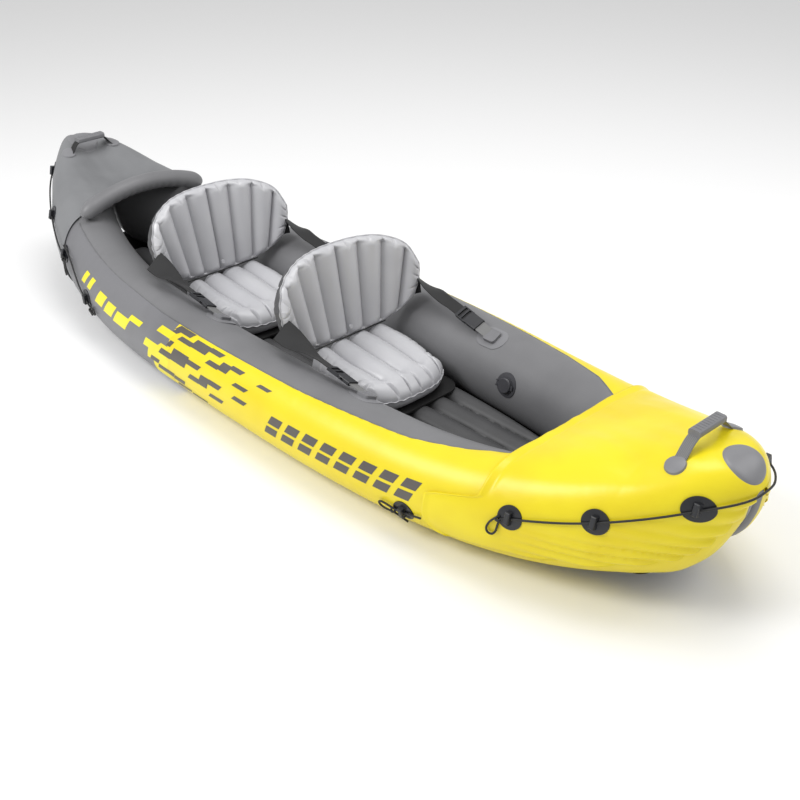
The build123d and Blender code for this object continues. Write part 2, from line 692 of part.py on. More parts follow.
def build_lines(sides, outers):
    grown = {side: side_chamber(side, HOLDER_DISC) for side in (-1, 1)}
    raised = {1: bow_outer(HOLDER_DISC), -1: stern_outer(HOLDER_DISC)}
    low = {side: (sides[side], grown[side], 0.0) for side in (-1, 1)}
    for end, name, line, cord, spots, tie, edge in (
        (1, "bow", BOW_LINE, BOW_TIE_CORD, BOW_HOLDERS, BOW_TIE, BOW_LOBE),
        (-1, "stern", STERN_LINE, STERN_TIE_CORD, STERN_HOLDERS, STERN_TIE, STERN_EDGE),
    ):
        tunnels = [grab_line(name, line), *tie_cords(name, cord)]
        high = (outers[end], raised[end], SKIN_TOP)
        on_deck = [spot for spot in spots if abs(spot[0]) - HOLDER_ROOM > edge]
        off_deck = [spot for spot in spots if spot not in on_deck] + [tie]
        discs, bridges = holders(on_deck, {-1: high, 1: high}, tunnels)
        more_discs, more_bridges = holders(off_deck, low, tunnels)
        write(f"{name}_rope_holders", discs + more_discs)
        write(f"{name}_rope_bridges", bridges + more_bridges)
    write("rope_knots", knots(grown, raised))


def build_valves(sides):
    """Cuts the valves' pockets and returns the chambers and the floor."""
    bare = {"starboard": sides[-1], "port": sides[1], "floor": floor_chamber()}
    grown = {"starboard": side_chamber(-1, PATCH), "port": side_chamber(1, PATCH)}
    cut, flanges = {}, []
    seat = cylinder(VALVE_RING[0] + 2 * SEAT_GAP, PATCH, PATCH + 6)
    ears = Pos(-CAP_PIN_OUT, 0, PATCH + 3) * Box(12, 24, 6)
    for where, chamber_solid in bare.items():
        plane = valve_plane(where)
        pocket = plane.location * valve_pocket()
        if where == "floor":
            recess = plane.location * cylinder(VALVE_FLANGE + 2 * SEAT_GAP, 0, 40)
            flange = plane.location * cylinder(VALVE_FLANGE, 0, PATCH)
            cut[where] = chamber_solid - recess - pocket
        else:
            flange = welded(grown[where], chamber_solid, plane, Circle(VALVE_FLANGE / 2), 20)
            cut[where] = chamber_solid - pocket
        flanges.append(flange - pocket - plane.location * seat - plane.location * ears)
        write(f"valve_body_{where}", plane.location * valve_body())
        write(f"valve_cap_{where}", plane.location * valve_cap())
    write("valve_flanges", flanges)
    return cut


def build_seats():
    bases, pipes = [], []
    for seat, name in ((0, "front"), (1, "rear")):
        place = Pos(SEAT_X - seat * SEAT_PITCH, 0, 0)
        write(f"{name}_cushion", place * cushion())
        bases.append(place * cushion_base())
        pipe = Pos(-3, 0, SEAT_HINGE_Z - PIPING[0]) * Rot(X=90) * Cylinder(PIPING[0] / 2, 2 * PIPING[1])
        pipes.append(place * pipe)
        write(f"{name}_backrest", back_place(seat) * backrest())
        write(f"{name}_sling", back_place(seat) * sling())
        write(f"{name}_backrest_valve", back_place(seat) * back_valve())
    write("cushion_bases", bases)
    write("seat_piping", pipes)


def build_straps(sides):
    patches, tabs, webs, sockets = [], [], [], []
    for side, label in ((-1, "starboard"), (1, "port")):
        skin = side_chamber(side, PATCH)
        for seat, name in ((0, "front"), (1, "rear")):
            point, normal = on_chamber(ANCHOR_X - seat * SEAT_PITCH, side, 90 + ANCHOR_TURN)
            outline = RectangleRounded(ANCHOR_PATCH[0], ANCHOR_PATCH[1], ANCHOR_PATCH[1] / 2 - 1)
            patches.append(welded(skin, sides[side], skin_plane(point, normal), outline))
            tabs.append(anchor_tab(seat, side, skin))
            frame, length = strap_plane(seat, side)
            webs.append(frame.location * anchor_webbing())
            sockets.append(frame.location * socket())
            write(f"buckle_plug_{name}_{label}", frame.location * plug())
            write(f"seat_strap_{name}_{label}", frame.location * strap(side, length))
            print(f"strap {name} {label}: direction {frame.x_dir}, length {length:.1f}")
    write("anchor_patches", patches)
    write("anchor_tabs", tabs)
    write("anchor_webbings", webs)
    write("buckle_sockets", sockets)


if __name__ == "__main__":
    os.makedirs("parts", exist_ok=True)
    sides, outers = build_hull()
    build_lines(sides, outers)
    chambers = build_valves(sides)
    write("side_chamber_starboard", chambers["starboard"])
    write("side_chamber_port", chambers["port"])
    write("floor_chamber", chambers["floor"])
    build_seats()
    build_straps(sides)
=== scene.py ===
"""Looks of a two-seat inflatable kayak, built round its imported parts.

Metres throughout. +X is the bow, +Y port and +Z up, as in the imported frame.
"""

import logging
import math
from collections.abc import Callable, Sequence
from dataclasses import dataclass
from enum import Enum

import bpy
import numpy as np
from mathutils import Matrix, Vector, noise


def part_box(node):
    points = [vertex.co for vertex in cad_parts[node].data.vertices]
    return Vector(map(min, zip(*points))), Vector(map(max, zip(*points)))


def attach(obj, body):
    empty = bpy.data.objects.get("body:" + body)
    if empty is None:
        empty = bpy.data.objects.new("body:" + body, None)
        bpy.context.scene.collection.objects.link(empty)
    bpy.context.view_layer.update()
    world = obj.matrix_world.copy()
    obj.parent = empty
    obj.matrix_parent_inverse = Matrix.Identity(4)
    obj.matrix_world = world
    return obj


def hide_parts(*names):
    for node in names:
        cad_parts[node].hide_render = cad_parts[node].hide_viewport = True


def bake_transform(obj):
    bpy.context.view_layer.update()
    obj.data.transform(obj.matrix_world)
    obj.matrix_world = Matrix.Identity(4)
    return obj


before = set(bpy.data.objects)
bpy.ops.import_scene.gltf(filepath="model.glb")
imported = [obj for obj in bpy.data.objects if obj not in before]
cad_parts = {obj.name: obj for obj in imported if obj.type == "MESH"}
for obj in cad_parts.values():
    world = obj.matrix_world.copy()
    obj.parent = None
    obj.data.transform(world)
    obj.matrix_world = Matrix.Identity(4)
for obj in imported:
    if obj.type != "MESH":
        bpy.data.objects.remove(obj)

MERGE_GAP = 2e-5  # points nearer than this become one
SHARP_ANGLE = 50.0  # edges sharper than this many degrees stay sharp
LAP = 0.004  # how far a welded rim lies under the pad that it edges
Point = tuple[float, float, float]
Place = Callable[[np.ndarray, np.ndarray], np.ndarray]


class Side(Enum):
    """The two sides of the hull, by the sign of Y."""

    STARBOARD = -1
    PORT = 1


def reporter(piece: str) -> logging.Logger:
    """Returns the logger of one piece."""
    return logging.getLogger(f"kayak.{piece}")


# ---------------------------------------------------------------- colour and nodes
def linear(code: str) -> tuple[float, float, float, float]:
    """Turns an sRGB hex colour into linear RGBA.

    Args:
        code: Six hex digits, such as "F5E526".

    Returns:
        Red, green, blue and alpha, linear, from 0 to 1.
    """
    parts = [int(code[i : i + 2], 16) / 255 for i in (0, 2, 4)]
    turned = [c / 12.92 if c <= 0.04045 else ((c + 0.055) / 1.055) ** 2.4 for c in parts]
    return (turned[0], turned[1], turned[2], 1.0)


def add(tree: bpy.types.NodeTree, kind: str, values: dict | None = None, links: dict | None = None, **settings):
    """Adds a node with its settings and links.

    Args:
        tree: The node tree of a material.
        kind: The node's type name.
        values: Constant values, by input socket.
        links: Output sockets to link from, by input socket.
        settings: Attributes of the node itself.

    Returns:
        The new node.
    """
    node = tree.nodes.new(kind)
    for name, setting in settings.items():
        setattr(node, name, setting)
    for name, value in (values or {}).items():
        node.inputs[name].default_value = value
    for name, source in (links or {}).items():
        tree.links.new(source, node.inputs[name])
    return node


def new_material(name: str) -> tuple[bpy.types.Material, bpy.types.NodeTree, bpy.types.Node]:
    """Makes an empty node material.

    Args:
        name: The material's name.

    Returns:
        The material, its node tree and its principled shader, which is already linked to the output.
    """
    material = bpy.data.materials.new(name)
    material.use_nodes = True
    tree = material.node_tree
    tree.nodes.clear()
    shader = add(tree, "ShaderNodeBsdfPrincipled")
    add(tree, "ShaderNodeOutputMaterial", links={"Surface": shader.outputs["BSDF"]})
    return material, tree, shader


@dataclass(frozen=True)
class CoatedVinyl:
    """Calendered PVC film over polyester scrim: satin, faintly grained, with soft uneven gloss."""

    name: str
    colour: str
    shade: str
    roughness: float = 0.42
    grain: float = 0.0011
    grain_depth: float = 0.00005
    crease: float = 0.045
    crease_depth: float = 0.0006
    gloss: float = 0.45

    def material(self) -> bpy.types.Material:
        """Returns the film's material."""
        material, tree, shader = new_material(self.name)
        here = add(tree, "ShaderNodeTexCoord").outputs["Object"]
        cloud = add(tree, "ShaderNodeTexNoise", {"Scale": 1 / 0.22, "Detail": 3.0}, {"Vector": here})
        mix = add(tree, "ShaderNodeMix", {"A": linear(self.colour), "B": linear(self.shade)}, data_type="RGBA")
        tint = add(tree, "ShaderNodeMapRange", {"From Min": 0.42, "From Max": 0.75}, {"Value": cloud.outputs["Fac"]})
        tree.links.new(tint.outputs["Result"], mix.inputs["Factor"])
        tree.links.new(mix.outputs["Result"], shader.inputs["Base Color"])
        gloss = add(
            tree,
            "ShaderNodeMapRange",
            {"To Min": self.roughness - 0.06, "To Max": self.roughness + 0.10},
            {"Value": cloud.outputs["Fac"]},
        )
        tree.links.new(gloss.outputs["Result"], shader.inputs["Roughness"])
        shader.inputs["Specular IOR Level"].default_value = self.gloss
        grain = add(tree, "ShaderNodeTexVoronoi", {"Scale": 1 / self.grain}, {"Vector": here})
        crease = add(
            tree, "ShaderNodeTexNoise", {"Scale": 1 / self.crease, "Detail": 2.0, "Distortion": 0.6}, {"Vector": here}
        )
        first = add(
            tree,
            "ShaderNodeBump",
            {"Distance": self.crease_depth, "Strength": 0.5},
            {"Height": crease.outputs["Fac"]},
        )
        second = add(
            tree,
            "ShaderNodeBump",
            {"Distance": self.grain_depth, "Strength": 0.5},
            {"Height": grain.outputs["Distance"], "Normal": first.outputs["Normal"]},
        )
        tree.links.new(second.outputs["Normal"], shader.inputs["Normal"])
        return material


@dataclass(frozen=True)
class NylonWebbing:
    """Woven nylon webbing: dull, ribbed across its run, with a faint lift of light on each pick."""

    name: str
    colour: str
    shade: str
    pick: float = 0.0022
    roughness: float = 0.72

    def material(self) -> bpy.types.Material:
        """Returns the webbing's material; its ribs are drawn coarser than real so that they show."""
        material, tree, shader = new_material(self.name)
        here = add(tree, "ShaderNodeTexCoord").outputs["Object"]
        ribs = add(
            tree,
            "ShaderNodeTexWave",
            {"Scale": 1 / self.pick / math.tau, "Distortion": 1.5, "Detail": 1.0},
            {"Vector": here},
            bands_direction="X",
        )
        weave = add(tree, "ShaderNodeTexNoise", {"Scale": 1 / self.pick, "Detail": 2.0}, {"Vector": here})
        both = add(tree, "ShaderNodeMath", operation="MULTIPLY")
        tree.links.new(ribs.outputs["Fac"], both.inputs[0])
        tree.links.new(weave.outputs["Fac"], both.inputs[1])
        mix = add(
            tree,
            "ShaderNodeMix",
            {"A": linear(self.shade), "B": linear(self.colour)},
            {"Factor": both.outputs["Value"]},
            data_type="RGBA",
        )
        tree.links.new(mix.outputs["Result"], shader.inputs["Base Color"])
        shader.inputs["Roughness"].default_value = self.roughness
        shader.inputs["Sheen Weight"].default_value = 0.06
        bump = add(tree, "ShaderNodeBump", {"Distance": 0.0004, "Strength": 0.6}, {"Height": both.outputs["Value"]})
        tree.links.new(bump.outputs["Normal"], shader.inputs["Normal"])
        return material


@dataclass(frozen=True)
class MouldedPlastic:
    """Injection-moulded plastic: fine spark-eroded texture and a soft, even shine."""

    name: str
    colour: str
    shade: str
    roughness: float = 0.38
    grit: float = 0.0006

    def material(self) -> bpy.types.Material:
        """Returns the plastic's material."""
        material, tree, shader = new_material(self.name)
        here = add(tree, "ShaderNodeTexCoord").outputs["Object"]
        grit = add(tree, "ShaderNodeTexNoise", {"Scale": 1 / self.grit, "Detail": 1.0}, {"Vector": here})
        cloud = add(tree, "ShaderNodeTexNoise", {"Scale": 1 / 0.03, "Detail": 2.0}, {"Vector": here})
        mix = add(
            tree,
            "ShaderNodeMix",
            {"A": linear(self.colour), "B": linear(self.shade)},
            {"Factor": cloud.outputs["Fac"]},
            data_type="RGBA",
        )
        tree.links.new(mix.outputs["Result"], shader.inputs["Base Color"])
        rough = add(
            tree,
            "ShaderNodeMapRange",
            {"To Min": self.roughness - 0.05, "To Max": self.roughness + 0.08},
            {"Value": cloud.outputs["Fac"]},
        )
        tree.links.new(rough.outputs["Result"], shader.inputs["Roughness"])
        bump = add(tree, "ShaderNodeBump", {"Distance": 0.00005, "Strength": 0.5}, {"Height": grit.outputs["Fac"]})
        tree.links.new(bump.outputs["Normal"], shader.inputs["Normal"])
        return material


@dataclass(frozen=True)
class Palette:
    """Every finish of the kayak."""

    yellow: CoatedVinyl = CoatedVinyl("pvc_film_yellow", "EAD61C", "E2CC14", 0.34, gloss=0.5)
    deck_yellow: CoatedVinyl = CoatedVinyl("pvc_cover_yellow", "ECD91E", "E2CA14", 0.30, crease_depth=0.0011)
    grey: CoatedVinyl = CoatedVinyl("pvc_film_grey", "767678", "6C6C6E", 0.42)
    outer_grey: CoatedVinyl = CoatedVinyl("pvc_film_outer_grey", "77777A", "6C6C6F", 0.42)
    stern_grey: CoatedVinyl = CoatedVinyl("pvc_cover_grey", "7E7F81", "727375", 0.44, crease_depth=0.0012)
    floor: CoatedVinyl = CoatedVinyl("pvc_floor_dark", "4A4A4B", "404041", 0.42)
    seat: CoatedVinyl = CoatedVinyl("pvc_seat_light_grey", "BDBDC0", "B1B1B5", 0.30, crease=0.02, gloss=0.55)
    seat_back: CoatedVinyl = CoatedVinyl("pvc_seat_back_grey", "4E4E50", "444446", 0.40, crease=0.02)
    rim: CoatedVinyl = CoatedVinyl("pvc_weld_rim", "6E6E70", "616163", 0.45)
    patch: CoatedVinyl = CoatedVinyl("pvc_patch_grey", "808083", "747477", 0.36, gloss=0.55)
    # Near-black film of the bottom; on the cushion bases it is also painted shade under each cushion.
    bottom: CoatedVinyl = CoatedVinyl("pvc_bottom_black", "1C1C1C", "151515", 0.5)
    print_dark: CoatedVinyl = CoatedVinyl("print_ink_dark", "5B5753", "514D4A", 0.40)
    print_yellow: CoatedVinyl = CoatedVinyl("print_ink_yellow", "F0E22A", "E4D31E", 0.38)
    webbing: NylonWebbing = NylonWebbing("nylon_webbing_black", "252526", "161617")
    grey_webbing: NylonWebbing = NylonWebbing("nylon_webbing_grey", "8B8B8B", "6A6A6A")
    rope: NylonWebbing = NylonWebbing("braided_cord_black", "2E2E2E", "161616", 0.0016, 0.62)
    moulded: MouldedPlastic = MouldedPlastic("moulded_nylon_black", "26272B", "1B1C20", 0.34)
    grip: MouldedPlastic = MouldedPlastic("moulded_pvc_grey", "7C7C7F", "6D6D70", 0.42)
    valve: MouldedPlastic = MouldedPlastic("moulded_valve_dark", "46464A", "3A3A3E", 0.36)


class Paint:
    """Makes each finish's material once and puts it on pieces."""

    def __init__(self, palette: Palette) -> None:
        """Keeps the palette; a material is made when a piece first needs it."""
        self.palette = palette
        self.made: dict[str, bpy.types.Material] = {}

    def get(self, name: str) -> bpy.types.Material:
        """Returns the material of the palette's finish of that name."""
        if name not in self.made:
            self.made[name] = getattr(self.palette, name).material()
        return self.made[name]

    def coat(self, piece: bpy.types.Object, *names: str) -> None:
        """Gives a piece its materials, in the order of its faces' material numbers."""
        piece.data.materials.clear()
        for name in names:
            piece.data.materials.append(self.get(name))


# ---------------------------------------------------------------- modelling by hand
def deselect() -> None:
    """Leaves edit mode and deselects everything."""
    if bpy.context.object and bpy.context.object.mode != "OBJECT":
        bpy.ops.object.mode_set(mode="OBJECT")
    bpy.ops.object.select_all(action="DESELECT")


def pick(piece: bpy.types.Object) -> None:
    """Makes one piece the only one selected, and the active one."""
    deselect()
    piece.select_set(True)
    bpy.context.view_layer.objects.active = piece


def finish_mesh(piece: bpy.types.Object) -> None:
    """Merges doubles, turns the faces outwards and smooths them.

    Args:
        piece: The mesh object.
    """
    pick(piece)
    bpy.ops.object.mode_set(mode="EDIT")
    bpy.ops.mesh.select_all(action="SELECT")
    bpy.ops.mesh.remove_doubles(threshold=MERGE_GAP)
    bpy.ops.mesh.normals_make_consistent(inside=False)
    bpy.ops.object.mode_set(mode="OBJECT")
    bpy.ops.object.shade_smooth_by_angle(angle=math.radians(SHARP_ANGLE))
    deselect()


def film(name: str, across: int, along: int, place: Place) -> bpy.types.Object:
    """Cuts a sheet of film as a grid and draws it over a shape.

    Args:
        name: The piece's name.
        across: Faces along the first direction.
        along: Faces along the second direction.
        place: Gives the points for arrays of the two directions, each from 0 to 1.

    Returns:
        The new object, at the origin.
    """
    deselect()
    bpy.ops.mesh.primitive_grid_add(x_subdivisions=across, y_subdivisions=along, size=1.0)
    piece = bpy.context.object
    piece.name = name
    piece.data.name = name
    flat = np.empty(len(piece.data.vertices) * 3)
    piece.data.vertices.foreach_get("co", flat)
    flat = flat.reshape(-1, 3)
    points = place(np.clip(flat[:, 0] + 0.5, 0, 1), np.clip(flat[:, 1] + 0.5, 0, 1))
    piece.data.vertices.foreach_set("co", np.asarray(points, float).reshape(-1))
    piece.data.update()
    finish_mesh(piece)
    return piece


def modify(piece: bpy.types.Object, kind: str, **settings) -> None:
    """Adds a modifier with its settings and applies it."""
    pick(piece)
    modifier = piece.modifiers.new(kind.lower(), kind)
    for name, value in settings.items():
        setattr(modifier, name, value)
    bpy.ops.object.modifier_apply(modifier=modifier.name)
    deselect()


def join(pieces: Sequence[bpy.types.Object], name: str) -> bpy.types.Object:
    """Joins mesh objects into one, under a new name."""
    deselect()
    for piece in pieces:
        piece.select_set(True)
    bpy.context.view_layer.objects.active = pieces[0]
    bpy.ops.object.join()
    pieces[0].name = name
    deselect()
    return pieces[0]


def smooth(low: float, high: float, value: np.ndarray | float) -> np.ndarray:
    """Rises smoothly from 0 at low to 1 at high."""
    t = np.clip((np.asarray(value, float) - low) / (high - low), 0, 1)
    return t * t * (3 - 2 * t)


def dome(depth: np.ndarray | float) -> np.ndarray:
    """Quarter-round profile: 0 at depth 0, and 1 from depth 1 on."""
    t = np.clip(depth, 0, 1)
    return np.sqrt(np.clip(1 - (1 - t) ** 2, 0, 1))


def tube_profile(slot: np.ndarray) -> np.ndarray:
    """Squared height across a row of round tubes: 0 on each weld and 1 on each crown.

    Args:
        slot: Place across the row, counted in tubes.

    Returns:
        One value for each place.
    """
    return np.clip(1 - (2 * (slot - np.floor(slot)) - 1) ** 2, 0, 1)


def ruffle(points: np.ndarray, scale: Sequence[float], seed: float) -> np.ndarray:
    """Smooth noise from about -1 to 1, stretched to a wavelength for each axis.

    Args:
        points: Points, one row each.
        scale: Wavelength in metres along x, y and z.
        seed: Offset that makes one pattern differ from another.

    Returns:
        One value for each point.
    """
    scaled = points / np.asarray(scale) + seed
    return np.array([noise.noise(Vector(p)) for p in scaled])


def through(knots: Sequence[Sequence[float]], share: np.ndarray) -> np.ndarray:
    """Follows a smooth curve through evenly spread points.

    Args:
        knots: The points that the curve passes through.
        share: Places along it, from 0 to 1.

    Returns:
        One point per row.
    """
    points = np.asarray(knots, float)
    last = len(points) - 1
    place = np.clip(share, 0, 1) * last
    i = np.minimum(place.astype(int), last - 1)
    t = (place - i)[:, None]
    before, after = points[np.maximum(i - 1, 0)], points[np.minimum(i + 2, last)]
    one, two = points[i], points[i + 1]
    return 0.5 * (
        2 * one
        + (two - before) * t
        + (2 * before - 5 * one + 4 * two - after) * t**2
        + (3 * one - before - 3 * two + after) * t**3
    )


# ---------------------------------------------------------------- hull lines
@dataclass(frozen=True)
class HullLines:
    """The curves that every hull piece follows."""

    length: float = 3.112
    beam: float = 0.910
    fullness: float = 2.6
    taper: float = 0.55
    side_height: float = 0.268
    chamber_width: float = 0.255
    gap: float = 0.012
    flat_half: float = 0.600
    keel_rise: float = 0.140
    tip_rise: float = 0.220
    bow_sheer: float = 0.215
    stern_sheer: float = 0.255
    sheer_power: float = 2.2
    bow_drop: float = 0.120
    stern_drop: float = 0.050
    skin: float = 0.002

    @property
    def half(self) -> float:
        """Half the hull's length."""
        return self.length / 2

    def half_beam(self, x: np.ndarray) -> np.ndarray:
        """Half the hull's width at x."""
        share = np.minimum(np.abs(x) / self.half, 0.9995)
        return self.beam / 2 * (1 - share**self.fullness) ** self.taper

    def keel(self, x: np.ndarray) -> np.ndarray:
        """Height of the bottom at x."""
        rise = np.maximum(np.abs(x) - self.flat_half, 0) / (self.half - self.flat_half)
        return self.keel_rise * rise**2.5 + self.tip_rise * (np.abs(x) / self.half) ** 30

    def top(self, x: np.ndarray) -> np.ndarray:
        """Height of the side chambers' tops at x."""
        x = np.asarray(x, float)
        rise = np.maximum(np.abs(x) - self.flat_half, 0) / (self.half - self.flat_half)
        sheer = np.where(x > 0, self.bow_sheer, self.stern_sheer)
        drop = np.where(x > 0, self.bow_drop, self.stern_drop)
        return self.side_height + sheer * rise**self.sheer_power - drop * (np.abs(x) / self.half) ** 24

    def chamber(self, x: np.ndarray) -> tuple[np.ndarray, np.ndarray, np.ndarray, np.ndarray]:
        """Centre y, centre z, half width and half height of a side chamber at x."""
        width = np.minimum(self.chamber_width, self.half_beam(x) - self.gap / 2)
        low = self.keel(x) + self.skin
        high = self.top(x)
        return self.half_beam(x) - width / 2, (low + high) / 2, width / 2, (high - low) / 2

    def on_chamber(self, x: np.ndarray, side: Side, angle: np.ndarray, out: np.ndarray | float = 0.0) -> np.ndarray:
        """Points on a chamber's skin.

        Args:
            x: Places along the hull.
            side: Which chamber.
            angle: Degrees from outboard, up over the top.
            out: Distance outside the skin.

        Returns:
            One point per row.
        """
        x, angle, out = np.broadcast_arrays(np.asarray(x, float), np.asarray(angle, float), np.asarray(out, float))
        y, z, a, b = self.chamber(x)
        turn = np.radians(angle)
        return np.stack(
            [x, side.value * (y + (a + out) * np.cos(turn)), z + (b + out) * np.sin(turn)], axis=1
        )


LINES = HullLines()


# ---------------------------------------------------------------- side chambers
@dataclass
class SideChamber:
    """One long air chamber: a printed outer panel and a grey inner panel, welded along two seams."""

    side: Side
    paint: Paint
    end: float = 0.011
    columns: int = 300
    outer_rows: int = 30
    inner_rows: int = 42
    lower_seam: float = -100.0
    colour_change: float = -0.300
    crease: float = 0.0022
    crease_width: float = 0.009
    pucker: float = 0.0014
    pucker_pitch: float = 0.047
    mean_radius: float = 0.13
    line_width: float = 0.0042
    line_ends: tuple[float, float] = (-1.10, 0.985)
    seam_stations: tuple[float, ...] = (-1.6, -0.6, -0.40, -0.10, 0.30, 0.70, 0.86, 0.985, 1.6)
    seam_angles: tuple[float, ...] = (66.0, 65.0, 61.5, 61.5, 65.0, 75.0, 88.0, 112.0, 118.0)

    def seam(self, x: np.ndarray) -> np.ndarray:
        """Angle of the upper seam at x."""
        return np.interp(x, self.seam_stations, self.seam_angles)

    def station(self, share: np.ndarray) -> np.ndarray:
        """Spreads the columns so that they crowd towards the tips."""
        tip = LINES.half - self.end
        t = 2 * share - 1
        return tip * (0.55 * t + 0.45 * np.sin(t * math.pi / 2))

    def surface(self, share: np.ndarray, turn: np.ndarray) -> np.ndarray:
        """Points of the skin for shares of the length and of the way round."""
        x = self.station(share)
        split = self.outer_rows / (self.outer_rows + self.inner_rows)
        seam = self.seam(x)
        outer = self.lower_seam + (seam - self.lower_seam) * turn / split
        inner = seam + (360 + self.lower_seam - seam) * (turn - split) / (1 - split)
        angle = np.where(turn <= split, outer, inner)
        nearest = np.minimum(np.abs(angle - seam), np.abs(angle - self.lower_seam))
        away = nearest * math.pi / 180 * self.mean_radius
        groove = -self.crease * np.exp(-((away / self.crease_width) ** 2))
        base = LINES.on_chamber(x, self.side, angle)
        drift = ruffle(base, (0.09, 0.5, 0.5), 3.0 + self.side.value)
        strength = 0.35 + 0.65 * smooth(-0.2, 0.6, ruffle(base, (0.35, 0.6, 0.6), 9.0))
        fold = np.cos(math.tau * x / self.pucker_pitch + 7 * drift) * np.exp(-away / 0.022)
        swell = 0.0012 * ruffle(base, (0.5, 0.12, 0.12), 5.0 + self.side.value)
        tip_fold = 0.004 * smooth(1.15, 1.5, np.abs(x)) * ruffle(base, (0.20, 0.06, 0.05), 12.0)
        out = groove + self.pucker * strength * fold + swell + tip_fold
        ends = np.minimum(share, 1 - share) < 1e-6
        y, z, _, _ = LINES.chamber(x)
        shut = np.stack([x, self.side.value * y, z], axis=1)
        return np.where(ends[:, None], shut, LINES.on_chamber(x, self.side, angle, out))

    def build(self) -> bpy.types.Object:
        """Makes the chamber's skin and gives its panels their colours."""
        label = self.side.name.lower()
        piece = film(f"chamber_skin_{label}", self.columns, self.outer_rows + self.inner_rows, self.surface)
        self.paint.coat(piece, "outer_grey", "yellow", "grey")
        for face in piece.data.polygons:
            face.material_index = self.panel(*face.center)
        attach(piece, "hull")
        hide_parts(f"side_chamber_{label}")
        return piece

    def panel(self, x: float, y: float, z: float) -> int:
        """Material number at a point: 0 outer grey, 1 outer yellow, 2 inner grey."""
        centre, height, a, b = LINES.chamber(np.array([x]))
        angle = math.degrees(math.atan2((z - height[0]) / b[0], (abs(y) - centre[0]) / a[0]))
        if self.lower_seam < angle < float(self.seam(np.array([x]))[0]):
            return 1 if x > self.colour_change else 0
        return 2

    def dress(self) -> None:
        """Adds the narrow dark weld line along the upper seam."""
        start, stop = self.line_ends

        def place(share: np.ndarray, turn: np.ndarray) -> np.ndarray:
            """Lays the line in the seam's groove."""
            x = start + (stop - start) * share
            spread = (turn - 0.5) * self.line_width / self.mean_radius * 180 / math.pi
            crown = 0.0012 * (1 - (2 * turn - 1) ** 2)
            return LINES.on_chamber(x, self.side, self.seam(x) + spread, -self.crease * 0.8 + crown)

        piece = film(f"seam_line_{self.side.name.lower()}", 260, 4, place)
        self.paint.coat(piece, "rim")
        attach(piece, "hull")


# ---------------------------------------------------------------- side print
@dataclass(frozen=True)
class Dash:
    """A slanted printed bar: its ends at its lower edge, its lower and upper angle, and its slant."""

    start: float
    stop: float
    low: float
    high: float
    slant: float = 0.015


